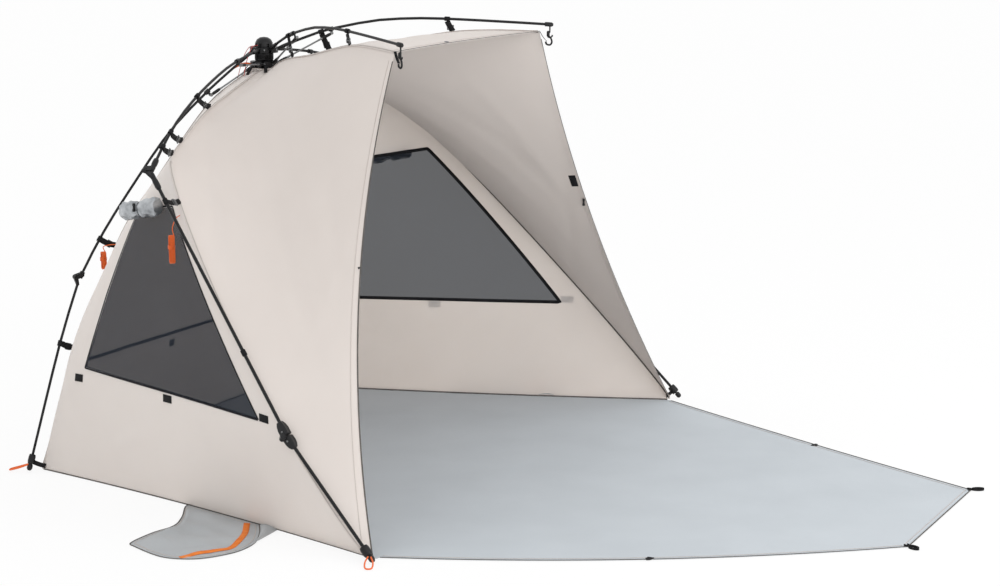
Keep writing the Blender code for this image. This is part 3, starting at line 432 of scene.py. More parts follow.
class Recipe:
    """One material's nodes round a Principled shader."""

    # A wave pattern of scale 1 repeats once in this length
    wave_length: float = FULL_TURN / 20

    def __init__(self, name: str) -> None:
        """Start a material.

        Args:
            name: material name.
        """
        self.material = bpy.data.materials.new(name)
        self.material.use_nodes = True
        self.tree = self.material.node_tree
        self.shader = self.tree.nodes["Principled BSDF"]
        self.where = self.node("TexCoord").outputs

    def feed(self, node: bpy.types.Node, inputs: dict) -> None:
        """Link sockets and set constants on a node's inputs.

        Args:
            node: the node that is fed.
            inputs: input name or number, and a socket or a constant.
        """
        for key, value in inputs.items():
            if isinstance(value, Socket):
                self.tree.links.new(value, node.inputs[key])
            else:
                node.inputs[key].default_value = value

    def node(self, kind: str, inputs: dict | None = None, **settings: object) -> bpy.types.Node:
        """Add a node.

        Args:
            kind: node type without its prefix.
            inputs: what feeds it.
            **settings: the node's own choices.

        Returns:
            The new node.
        """
        node = self.tree.nodes.new("ShaderNode" + kind)
        for key, value in settings.items():
            setattr(node, key, value)
        self.feed(node, inputs or {})
        return node

    def noise(self, scale: float, detail: float = 3.0, **settings: object) -> Socket:
        """Return the strength of a noise pattern on object coordinates."""
        inputs = {"Vector": self.where["Object"], "Scale": scale, "Detail": detail}
        return self.node("TexNoise", inputs, **settings).outputs["Fac"]

    def bands(self, pitch: float, direction: str, where: Socket | None = None) -> Socket:
        """Return even bands of a pitch in metres, on the UV map or other coordinates."""
        inputs = {"Vector": self.where["UV"] if where is None else where, "Scale": self.wave_length / pitch}
        return self.node("TexWave", inputs, bands_direction=direction).outputs["Fac"]

    def sum(self, first: Socket, second: Socket, operation: str = "ADD") -> Socket:
        """Return two patterns put together by a sum or another operation."""
        return self.node("Math", {0: first, 1: second}, operation=operation).outputs[0]

    def between(self, share: Socket, first: Colour, second: Colour, low: float = 0.3,
                high: float = 0.7) -> Socket:
        """Return a colour between two, by a pattern.

        Args:
            share: the pattern.
            first: colour where the pattern is low.
            second: colour where it is high.
            low: pattern strength that gives the first colour.
            high: pattern strength that gives the second colour.

        Returns:
            The colour's socket.
        """
        ramp = self.node("ValToRGB", {"Fac": share})
        for stop, place, colour in zip(ramp.color_ramp.elements, (low, high), (first, second)):
            stop.position = place
            stop.color = (*colour, 1.0)
        return ramp.outputs["Color"]

    def span(self, share: Socket, low: float, high: float) -> Socket:
        """Return a pattern moved to a range."""
        return self.node("MapRange", {"Value": share, "To Min": low, "To Max": high}).outputs["Result"]

    def bump(self, height: Socket, depth: float, strength: float = 1.0, over: Socket | None = None) -> Socket:
        """Return a surface direction roughened by a pattern.

        Args:
            height: the pattern.
            depth: its depth in metres.
            strength: share of it that shows.
            over: a bump that this one lies on.

        Returns:
            The direction's socket.
        """
        inputs = {"Height": height, "Distance": depth, "Strength": strength}
        if over is not None:
            inputs["Normal"] = over
        return self.node("Bump", inputs).outputs["Normal"]

    def finish(self, inputs: dict) -> bpy.types.Material:
        """Feed the shader and return the material."""
        self.feed(self.shader, inputs)
        return self.material


@dataclass(frozen=True)
class Finish:
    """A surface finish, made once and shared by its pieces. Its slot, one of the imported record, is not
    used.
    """

    name: str
    slot: str
    colour: Colour
    shade: Colour
    roughness: float = 0.8

    def material(self) -> bpy.types.Material:
        """Return the finish's material."""
        return bpy.data.materials.get(self.name) or self.make(Recipe(self.name))

    def make(self, recipe: Recipe) -> bpy.types.Material:
        """Lay out the finish's nodes."""
        raise NotImplementedError

    def worn(self, recipe: Recipe, pattern: Socket, smoother: float, rougher: float) -> Socket:
        """Return a roughness that a pattern varies round the middle one."""
        return recipe.span(pattern, self.roughness - smoother, self.roughness + rougher)


@dataclass(frozen=True)
class ClothFinish(Finish):
    """Plain-woven tent cloth with soft creases. Its glow is the share of light that comes through."""

    thread: float = 0.0011
    thread_depth: float = 0.00012
    crease: float = 0.0030
    crease_scale: float = 7.0
    relief: float = 0.35
    sheen: float = 0.10
    glow: float = 0.0
    glow_reach: float = 0.006
    glow_tint: Colour = (1.0, 0.95, 0.9)

    def make(self, recipe: Recipe) -> bpy.types.Material:
        """Lay out weave, creases and colour variation.

        Args:
            recipe: the new material.

        Returns:
            The finished material.
        """
        weave = recipe.sum(recipe.bands(self.thread, "X"), recipe.bands(self.thread, "Y"), "MULTIPLY")
        folds = recipe.noise(self.crease_scale, noise_type="RIDGED_MULTIFRACTAL")
        cloud = recipe.noise(scale=3.5, detail=5.0)
        fine = recipe.bump(weave, self.thread_depth, self.relief)
        return recipe.finish({
            "Base Color": recipe.between(cloud, self.colour, self.shade),
            "Roughness": self.worn(recipe, recipe.noise(scale=60.0, detail=2.0), smoother=0.06, rougher=0.06),
            "Sheen Weight": self.sheen, "Specular IOR Level": 0.3, "Subsurface Weight": self.glow,
            "Subsurface Scale": self.glow_reach, "Subsurface Radius": self.glow_tint,
            "Normal": recipe.bump(folds, self.crease, self.relief, fine)})


@dataclass(frozen=True)
class NetFinish(Finish):
    """Fine window netting. Its cover is the share of the view that the threads hide."""

    hole: float = 0.0016
    cover: float = 0.65

    def make(self, recipe: Recipe) -> bpy.types.Material:
        """Lay out the net's threads."""
        threads = recipe.sum(recipe.bands(self.hole, "X"), recipe.bands(self.hole, "Y"), "MAXIMUM")
        return recipe.finish({
            "Base Color": recipe.between(recipe.noise(scale=2.2), self.colour, self.shade),
            "Roughness": self.roughness, "Alpha": self.cover, "Specular IOR Level": 0.2,
            "Normal": recipe.bump(threads, depth=0.0002, strength=0.15)})


@dataclass(frozen=True)
class SilverFinish(Finish):
    """Silver-coated flap cloth with sharp creases."""

    metal: float = 0.75

    def make(self, recipe: Recipe) -> bpy.types.Material:
        """Lay out the coating and its creases."""
        creases = recipe.noise(scale=34.0, detail=4.0, noise_type="RIDGED_MULTIFRACTAL")
        return recipe.finish({
            "Base Color": recipe.between(recipe.noise(scale=28.0), self.colour, self.shade),
            "Metallic": self.metal,
            "Roughness": self.worn(recipe, recipe.noise(scale=90.0), smoother=0.06, rougher=0.12),
            "Normal": recipe.bump(creases, depth=0.0050)})


@dataclass(frozen=True)
class WebbingFinish(Finish):
    """Flat woven webbing, ribbed across. Its warp is the pitch along it as a share of the ribs'."""

    rib: float = 0.0016
    warp: float = 0.8

    def make(self, recipe: Recipe) -> bpy.types.Material:
        """Lay out the ribs and the worn fibres."""
        ribs = recipe.sum(recipe.bands(self.rib, "Y"), recipe.bands(self.rib * self.warp, "X"), "MULTIPLY")
        return recipe.finish({
            "Base Color": recipe.between(recipe.noise(scale=45.0), self.colour, self.shade),
            "Roughness": self.roughness, "Specular IOR Level": 0.2,
            "Normal": recipe.bump(ribs, depth=0.0003, strength=0.8)})


@dataclass(frozen=True)
class StitchFinish(Finish):
    """A row of stitches: thread, with gaps of cloth between."""

    stitch: float = 0.0045

    def make(self, recipe: Recipe) -> bpy.types.Material:
        """Lay out the stitches along the row."""
        row = recipe.bands(self.stitch, "Y")
        return recipe.finish({
            "Base Color": recipe.between(row, self.shade, self.colour, low=0.22, high=0.34),
            "Roughness": self.roughness, "Normal": recipe.bump(row, depth=0.0004, strength=0.6)})


@dataclass(frozen=True)
class CordFinish(Finish):
    """Braided cord, darker between its strands: painted shade in the braid's grooves."""

    braid: float = 0.0022

    def make(self, recipe: Recipe) -> bpy.types.Material:
        """Lay out the braid's two crossing strands.

        Args:
            recipe: the new material.

        Returns:
            The finished material.
        """
        turned = recipe.node("Mapping", {"Vector": recipe.where["UV"], "Scale": (-1.0, 1.0, 1.0)})
        braid = recipe.sum(recipe.bands(self.braid, "DIAGONAL"),
                           recipe.bands(self.braid, "DIAGONAL", turned.outputs["Vector"]), "MAXIMUM")
        return recipe.finish({
            # Darker shade colour where the braid is low: painted shade between the strands.
            "Base Color": recipe.between(braid, self.shade, self.colour, low=0.35, high=0.8),
            "Roughness": self.roughness, "Sheen Weight": 0.2,
            "Normal": recipe.bump(braid, depth=0.0005, strength=0.7)})


@dataclass(frozen=True)
class PlasticFinish(Finish):
    """Moulded plastic with a fine grain."""

    grain: float = 0.00006

    def make(self, recipe: Recipe) -> bpy.types.Material:
        """Lay out grain, polish and dust."""
        dust = recipe.noise(scale=22.0, detail=5.0)
        return recipe.finish({
            "Base Color": recipe.between(dust, self.colour, self.shade, low=0.4, high=0.75),
            "Roughness": self.worn(recipe, recipe.noise(scale=70.0), smoother=0.08, rougher=0.1),
            "Specular IOR Level": 0.3,
            "Normal": recipe.bump(recipe.noise(scale=900.0, detail=2.0), self.grain, strength=0.6)})


@dataclass(frozen=True)
class PoleFinish(Finish):
    """Painted fibreglass or steel rod."""

    metal: float = 0.0

    def make(self, recipe: Recipe) -> bpy.types.Material:
        """Lay out the paint's fine scratches.

        Args:
            recipe: the new material.

        Returns:
            The finished material.
        """
        scratch = recipe.noise(scale=240.0, detail=4.0)
        worn = recipe.noise(scale=9.0, detail=6.0)
        return recipe.finish({
            "Base Color": recipe.between(worn, self.colour, self.shade, low=0.35, high=0.8),
            "Metallic": self.metal, "Specular IOR Level": 0.25,
            "Roughness": self.worn(recipe, scratch, smoother=0.1, rougher=0.12),
            "Normal": recipe.bump(scratch, depth=0.00003, strength=0.5)})


# One tent cloth in two copies: roof, front panels and trim glow little and the walls much more, so the walls'
# inner faces show lighter and the panels darker; that difference is painted light and shade.
CANOPY = ClothFinish("tent_cloth", "canopy_cloth", (0.672, 0.612, 0.574), (0.648, 0.590, 0.553), 0.82,
                     glow=0.2)
LIT_WALL_CLOTH = replace(CANOPY, name="wall_cloth", glow=0.7)
INNER_FLOOR = ClothFinish("floor_cloth_grey", "floor_cloth", (0.545, 0.588, 0.625), (0.51, 0.552, 0.588),
                          0.66, thread=0.0015, crease=0.004, crease_scale=6.0, sheen=0.05)
POCKET = ClothFinish("pocket_cloth_grey", "pocket_cloth", (0.44, 0.46, 0.475), (0.39, 0.41, 0.425), 0.75,
                     crease=0.004, crease_scale=16.0)
NET = NetFinish("window_net", "mesh_cloth", (0.012, 0.017, 0.028), (0.019, 0.025, 0.037), 0.9)
SILVER = SilverFinish("flap_silver", "flap_cloth", (0.60, 0.62, 0.64), (0.25, 0.265, 0.28), 0.34)
WEBBING = WebbingFinish("strap_webbing", "black_webbing", (0.007, 0.007, 0.008), (0.014, 0.014, 0.015))
BINDING = WebbingFinish("edge_binding", "black_webbing", (0.008, 0.008, 0.010), (0.016, 0.016, 0.018), 0.85,
                        rib=0.0010)
PIPING = WebbingFinish("seam_piping", "black_webbing", (0.10, 0.092, 0.085), (0.15, 0.138, 0.128), 0.85,
                       rib=0.0012)
# Canopy cloth painted darker for the fold on each seam: painted shade along the seams.
SEAM_FOLD_SHADE = WebbingFinish("seam_fold", "canopy_cloth", (0.46, 0.42, 0.39), (0.52, 0.475, 0.44), 0.85, rib=0.0012)
STITCH = StitchFinish("seam_stitch", "canopy_cloth", (0.54, 0.49, 0.455), (0.66, 0.60, 0.56))
ORANGE = CordFinish("guy_orange", "orange_cord", (0.92, 0.160, 0.012), (0.62, 0.080, 0.008), 0.66)
RED = CordFinish("pull_red", "orange_cord", (0.56, 0.030, 0.018), (0.28, 0.012, 0.010), 0.6, braid=0.0014)
STRIPE = WebbingFinish("pocket_stripe", "orange_cord", (0.86, 0.24, 0.045), (0.74, 0.18, 0.03), 0.7)
PLASTIC = PlasticFinish("moulded_black", "black_plastic", (0.006, 0.006, 0.007), (0.012, 0.012, 0.013), 0.34)
BUCKLE = PlasticFinish("buckle_grey", "black_plastic", (0.09, 0.092, 0.095), (0.16, 0.163, 0.167), 0.3)
POLE = PoleFinish("pole_paint", "pole_black", (0.006, 0.006, 0.007), (0.011, 0.011, 0.012), 0.40)
STEEL = PoleFinish("bare_steel", "strut_steel", (0.26, 0.265, 0.27), (0.18, 0.185, 0.19), 0.42, metal=0.8)


# Where every piece is settled

@dataclass(frozen=True)
class ClothFold:
    """The fold joint and the share of its width that cloth keeps as the tent folds; gathering only gives a
    piece its own mesh.
    """

    joint: str = "fold"
    keep: float = 0.07

    def gather(self, piece: Piece) -> None:
        """Give a piece its own mesh."""
        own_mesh(piece)


def settle(piece: Piece, finish: Finish, body: str = "tent", gathers: bool = False,
           stands_for: Sequence[str] = ()) -> None:
    """Give a piece its finish, its body and, if it gathers, its own mesh.

    Args:
        piece: the finished mesh.
        finish: its finish.
        body: the body that it rides on.
        gathers: whether it gets its own mesh.
        stands_for: frame nodes that it replaces.
    """
    piece.data.materials.clear()
    piece.data.materials.append(finish.material())
    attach(piece, body)
    if gathers:
        ClothFold().gather(piece)
    if stands_for:
        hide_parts(*stands_for)
    LOG.info("%s: %s on %s, %d faces", piece.name, finish.name, body, len(piece.data.polygons))


def sew(piece: Piece, finish: Finish, body: str = "tent") -> None:
    """Settle a piece that is sewn to the cloth, with its own mesh."""
    settle(piece, finish, body, gathers=True)


# Cut of the canopy

def coons(south: Line, north: Line, west: Line, east: Line) -> Surface:
    """Return the surface between four edges.

    Args:
        south: edge at V 0, along U.
        north: edge at V 1, along U.
        west: edge at U 0, along V.
        east: edge at U 1, along V.

    Returns:
        A function of two shares that gives places.
    """
    def place(u: Array, v: Array) -> Array:
        """Return the surface's places.

        Args:
            u: shares of its first way.
            v: shares of its second way.

        Returns:
            A place for each pair.
        """
        a, b = u[..., None], v[..., None]
        rails = south.at(u) * (1 - b) + north.at(u) * b
        rungs = west.at(v) * (1 - a) + east.at(v) * a
        low = south.points[0] * (1 - a) + south.points[-1] * a
        high = north.points[0] * (1 - a) + north.points[-1] * a
        return rails + rungs - low * (1 - b) - high * b
    return place


def between_edges(left: Line, right: Line) -> Surface:
    """Return the surface between two side edges, with straight ends."""
    ends = [Line.straight(left.points[end], right.points[end]) for end in (0, -1)]
    return coons(*ends, left, right)


@dataclass(frozen=True)
class TentPattern:
    """The cut of the canopy and the run of the poles, as the frame's source has them.

    Shapes are (distance from the hub axis, height) in the pole planes.
    """

    half_front: float = 1.20
    hub_depth: float = 1.092
    pivot: Pair = (0.040, 1.408)
    ring: Pair = (0.0505, 1.3405)
    hem_height: float = 0.0041
    foot_inset: float = 0.006
    ridge: tuple = ((0.171, 1.383), (0.369, 1.412), (0.522, 1.440), (0.670, 1.463), (0.813, 1.468),
                    (0.985, 1.462))
    arm: tuple = ((0.180, 1.312), (0.303, 1.288), (0.550, 1.232), (0.817, 1.126))
    rear: tuple = ((0.224, 1.225), (0.418, 0.989), (0.543, 0.831), (0.638, 0.655), (0.748, 0.430),
                   (0.811, 0.226), (0.884, 0.0041))
    front_pole: tuple = ((0.130, 1.400), (0.317, 1.374), (0.532, 1.319), (0.705, 1.258), (0.837, 1.193),
                         (0.948, 1.117), (0.985, 1.090))
    rear_pole: tuple = ((0.140, 1.334), (0.233, 1.263), (0.376, 1.134), (0.532, 0.941), (0.640, 0.793),
                        (0.727, 0.649))
    rear_shin: tuple = ((0.806, 0.428), (0.926, 0.026))
    awning_pole: tuple = ((0.200, 1.468), (0.372, 1.503), (0.487, 1.512), (0.600, 1.512), (0.743, 1.505),
                          (0.917, 1.494), (1.005, 1.488))
    knee: Triple = (1.188, 0.302, 0.345)
    front_foot: Triple = (1.232, -0.004, 0.022)
    leg_bow: Pair = (0.105, 0.021)
    leg_fullness: float = 0.6
    front_bow: Pair = (0.029, 0.073)
    roof_bow: float = 0.030
    hem_bow: float = 0.030
    hem_bow_power: int = 6
    bend_start: float = 0.15
    bend_bow: float = 0.14
    bend_weight: float = 3.2
    points_per_span: int = 6
    ring_points: int = 25

    def polar(self, side: Side, angle: float, radius: float, height: float) -> Array:
        """Return a place by its angle round the hub axis."""
        turn = math.radians(angle)
        return plan(side.value * radius * math.sin(turn), self.hub_depth - radius * math.cos(turn), height)

    def in_plane(self, side: Side, pole: Pole, shape: Sequence[Pair]) -> Line:
        """Return a smooth line in a pole's plane."""
        return Line.through([self.polar(side, pole.value, *place) for place in shape], self.points_per_span)

    def pole_line(self, side: Side, pole: Pole) -> Line:
        """Return a pole's centre line from its hub pin."""
        shapes = {Pole.FRONT: self.front_pole, Pole.REAR: self.rear_pole, Pole.AWNING: self.awning_pole}
        return self.in_plane(side, pole, (self.pivot, *shapes[pole]))

    def lower_lines(self, side: Side) -> dict[str, Line]:
        """Return the centre lines below the elbow and the rear knee.

        Args:
            side: the legs' side.

        Returns:
            The lines by the names of their bodies.
        """
        elbow = self.pole_line(side, Pole.FRONT).points[-1]
        knee = plan(side.value * self.knee[0], *self.knee[1:])
        foot = plan(side.value * self.front_foot[0], *self.front_foot[1:])
        rear = self.in_plane(side, Pole.REAR, (self.rear_pole[-1], *self.rear_shin))
        return {"front_leg": Line.straight(elbow, knee), "front_shin": Line.straight(knee, foot),
                "rear_shin": rear}

    def seams(self, side: Side) -> dict[str, Line]:
        """Return the canopy's seams and edges on one side.

        Args:
            side: the side.

        Returns:
            The lines by name.
        """
        sign = side.value
        ridge = self.in_plane(side, Pole.AWNING, (self.ring, *self.ridge))
        arm = self.in_plane(side, Pole.FRONT, (self.ring, *self.arm))
        rear = self.in_plane(side, Pole.REAR, (self.ring, *self.rear))
        foot = plan(sign * (self.half_front - self.foot_inset), self.foot_inset, self.hem_height)
        leg = Line.bowed(arm.points[-1], foot, np.array((sign * self.leg_bow[0], self.leg_bow[1], 0.0)),
                         self.leg_fullness)
        front = Line.bowed(ridge.points[-1], foot,
                           np.array((sign * self.front_bow[0], self.front_bow[1], 0.0)))
        hem = Line.bowed(foot, rear.points[-1], np.array((-sign * self.hem_bow, 0.0, 0.0)))
        return {"ridge": ridge, "arm": arm, "rear": rear, "leg": leg, "front": front, "hem": hem}

    def ring_arc(self, start: float, end: float) -> Line:
        """Return the canopy ring between two signed angles, left negative."""
        angles = np.linspace(start, end, self.ring_points)
        return Line(np.array([self.polar(Side.RIGHT, angle, *self.ring) for angle in angles]))

    def front_panel(self, side: Side) -> Surface:
        """Return the panel between a ridge and a front leg.

        Args:
            side: the panel's side.

        Returns:
            Its surface.
        """
        seams = self.seams(side)
        west = Line(np.vstack((seams["arm"].points[0], seams["ridge"].points)))
        return coons(seams["arm"], seams["front"], west, seams["leg"])

    def roof(self) -> Surface:
        """Return the roof between the two ridges.

        Returns:
            Its surface.
        """
        left, right = self.seams(Side.LEFT)["ridge"], self.seams(Side.RIGHT)["ridge"]
        edge = Line.bowed(left.points[-1], right.points[-1], np.array((0.0, self.roof_bow, 0.0)))
        return coons(self.ring_arc(-Pole.AWNING.value, Pole.AWNING.value), edge, left, right)

    def rear_wall(self) -> Surface:
        """Return the rear wall between the two rear seams.

        Returns:
            Its surface.
        """
        left, right = self.seams(Side.LEFT)["rear"], self.seams(Side.RIGHT)["rear"]
        hem = Line.bowed(left.points[-1], right.points[-1], np.zeros(3))
        return coons(self.ring_arc(360 - Pole.REAR.value, Pole.REAR.value), hem, left, right)

    def side_wall(self, side: Side) -> Surface:
        """Return the side wall, flat behind the leg and rounding back to the rear seam.

        Args:
            side: the wall's side.

        Returns:
            Its surface.
        """
        seams = self.seams(side)
        rear, leg = seams["rear"], seams["leg"]
        front = Line(np.vstack((seams["arm"].points, leg.points[1:])))
        shoulder = seams["arm"].length / front.length
        top = front.at(shoulder) * (1 - self.bend_start) + rear.at(shoulder) * self.bend_start
        bend = Line.bowed(top, rear.points[-1], unit(rear.points[-1] - leg.points[-1]) * self.bend_bow)
        hem_bow = np.array((-side.value * self.hem_bow, 0.0, 0.0))

        def place(u: Array, v: Array) -> Array:
            """Return the wall's places.

            Args:
                u: shares of its way forward.
                v: shares of its way down.

            Returns:
                A place for each pair.
            """
            start, end = rear.at(v), front.at(v)
            share = (0.5 + (self.bend_start - 0.5) * v / shoulder)[..., None]
            pull = np.where((v < shoulder)[..., None], end * (1 - share) + start * share,
                            bend.at((v - shoulder) / (1 - shoulder)))
            weights = np.stack(((1 - u) ** 2, 2 * u * (1 - u) * self.bend_weight, u ** 2), axis=-1)
            weights /= weights.sum(axis=-1, keepdims=True)
            near = weights[..., 2]
            bow = hem_bow * (4 * near * (1 - near) * v ** self.hem_bow_power)[..., None]
            return start * weights[..., :1] + pull * weights[..., 1:2] + end * weights[..., 2:] + bow
        return place


@dataclass(frozen=True)
class Crease:
    """A soft fold in a sheet, between two pairs of the sheet's shares.

    A depth below zero folds it inwards. The width is half the fold's, and rise is the share of its height's
    half wave that is left out at each end.
    """

    start: Pair
    end: Pair
    depth: float
    width: float = 0.022
    rise: float = 0.08
    points: int = 30

    def move(self, surface: Surface, places: Array) -> Array:
        """Return how far the crease moves each place.

        Args:
            surface: the taut sheet.
            places: the places.

        Returns:
            The distances.
        """
        share = np.linspace(0.0, 1.0, self.points)
        line = surface(*(first + (last - first) * share for first, last in zip(self.start, self.end)))
        away = np.linalg.norm(places[:, :, None] - line[None, None], axis=-1)
        taper = np.sin(np.pi * (self.rise + (1 - 2 * self.rise) * share[np.argmin(away, axis=-1)]))
        return self.depth * taper * np.exp(-(away.min(axis=-1) / self.width) ** 2)


@dataclass
class ClothSheet:
    """One cut sheet of cloth, held along its edges and facing away from a place inside.

    Folds die out over the hold distance, and slack is the share of ripples and folds that shows. Each slow
    wave has a way, a start and a height.
    """

    name: str
    surface: Surface
    creases: Sequence[Crease] = ()
    cell: float = 0.016
    ripple: float = 0.0022
    hold: float = 0.07
    inside: Triple = (0.0, 0.70, 0.55)
    slack: float = 0.5
    ripples: tuple = (((9.0, 7.0, 4.0), 0.0, 1.0), ((-6.0, 11.0, 8.0), 1.3, 1.0),
                      ((17.0, -9.0, 13.0), 0.4, 0.6))

    @staticmethod
    def reaches(places: Array) -> tuple[Array, Array]:
        """Return the length of each row and of each column of places."""
        steps = [np.linalg.norm(np.diff(places, axis=axis), axis=2) for axis in (1, 0)]
        return steps[0].sum(axis=1), steps[1].sum(axis=0)

    def size(self, steps: int = 41) -> Pair:
        """Return the sheet's greatest width and length."""
        shares = np.meshgrid(*[np.linspace(0.0, 1.0, steps)] * 2)
        return tuple(float(reach.max()) for reach in self.reaches(self.surface(*shares)))

    def row(self, share: float, start: float = 0.0, end: float = 1.0, steps: int = 60) -> Array:
        """Return even places along a stretch of one row of the sheet.

        Args:
            share: the row's own share.
            start: share at which the stretch starts.
            end: share at which it ends.
            steps: places read from the surface.

        Returns:
            The places.
        """
        run = np.linspace(start, end, steps)
        places = self.surface(run, np.full_like(run, share))
        return Line(places).part(0.0, 1.0)

    def build(self) -> Piece:
        """Make the open sheet with its folds, facing outwards.

        Returns:
            The sheet.
        """
        width, height = self.size()
        columns, rows = int(width / self.cell) + 1, int(height / self.cell) + 1
        u, v = np.meshgrid(np.linspace(0, 1, columns + 1), np.linspace(0, 1, rows + 1))
        places = self.surface(u, v)
        normals = unit(np.cross(np.gradient(places, axis=1), np.gradient(places, axis=0)))
        if np.mean(np.sum(normals * (places - np.array(self.inside)), axis=-1)) < 0:
            u, v, places, normals = u[:, ::-1], v[:, ::-1], places[:, ::-1], -normals[:, ::-1]
        across, down = self.reaches(places)
        wide, tall = across[:, None], down[None, :]
        edge = np.minimum(np.minimum(u, 1 - u) * wide, np.minimum(v, 1 - v) * tall)
        crest = sum(height for _, _, height in self.ripples)
        move = self.ripple * self.slack * waves(places, self.ripples) / crest
        for crease in self.creases:
            move = move + self.slack * crease.move(self.surface, places)
        places = places + normals * (move * soft_step(edge / self.hold))[..., None]
        corners = np.stack(((u - 0.5) * wide, v * float(tall.mean())), axis=-1)
        return grid(self.name, places, corners)


class Skin:
    """Outer faces of sheets, for seating trim on them."""

    def __init__(self, *pieces: Piece) -> None:
        """Read the faces of open sheets.

        Args:
            *pieces: the sheets.
        """
        places: list[Vector] = []
        faces: list[list[int]] = []
        for piece in pieces:
            first = len(places)
            places += [vertex.co.copy() for vertex in piece.data.vertices]
            faces += [[first + number for number in face.vertices] for face in piece.data.polygons]
        self.tree = BVHTree.FromPolygons(places, faces)

    def seat(self, line: Array, reach: float = 0.02) -> tuple[Array, Array]:
        """Return places moved on to the sheets, and the way the sheets face there.

        Args:
            line: places near the sheets.
            reach: distance over which the facing is averaged.

        Returns:
            Seated places and facings.
        """
        seats, facings = [], []
        for place in line:
            spot, facing, _, _ = self.tree.find_nearest(Vector(place))
            near = self.tree.find_nearest_range(spot, reach)
            facing = sum((found[1] for found in near), Vector(facing))
            seats.append(spot)
            facings.append(facing.normalized())
        return np.array(seats), np.array(facings)

    def cast(self, places: Array, direction: Sequence[float]) -> tuple[Array, Array]:
        """Return where rays from places meet the sheets, and the facing there."""
        hits = [self.tree.ray_cast(Vector(place), Vector(direction)) for place in places]
        return np.array([hit[0] for hit in hits]), np.array([hit[1] for hit in hits])

    def tape(self, name: str, line: Array, width: float, thickness: float = 0.0008,
             under: float | None = None, lift: float = 0.0003) -> Piece:
        """Make a band that lies on the sheets.

        Args:
            name: piece name.
            line: places near the sheets.
            width: band width.
            thickness: band thickness.
            under: sheet thickness, for a band on the inner face.
            lift: gap to the sheet.

        Returns:
            The band.
        """
        seats, facings = self.seat(line)
        if under is not None:
            seats, facings = seats - facings * under, -facings
        return ribbon(name, seats, facings, width, thickness, lift)


# A logged width and length hold at most this many times the sheet's own area
MOST_SPARE = 2.4


def declare_sheet(piece: Piece, size: Pair) -> None:
    """Log a closed sheet's width, its length and its own area.

    Args:
        piece: the closed sheet.
        size: its greatest width and length.
    """
    outer_area = sum(face.area for face in piece.data.polygons) / 2
    area = min(outer_area, size[0] * size[1])
    size = min(size[0], MOST_SPARE * area / size[1]), size[1]
    LOG.info("%s: %.3f by %.3f m, %.3f square metres", piece.name, *size, area)


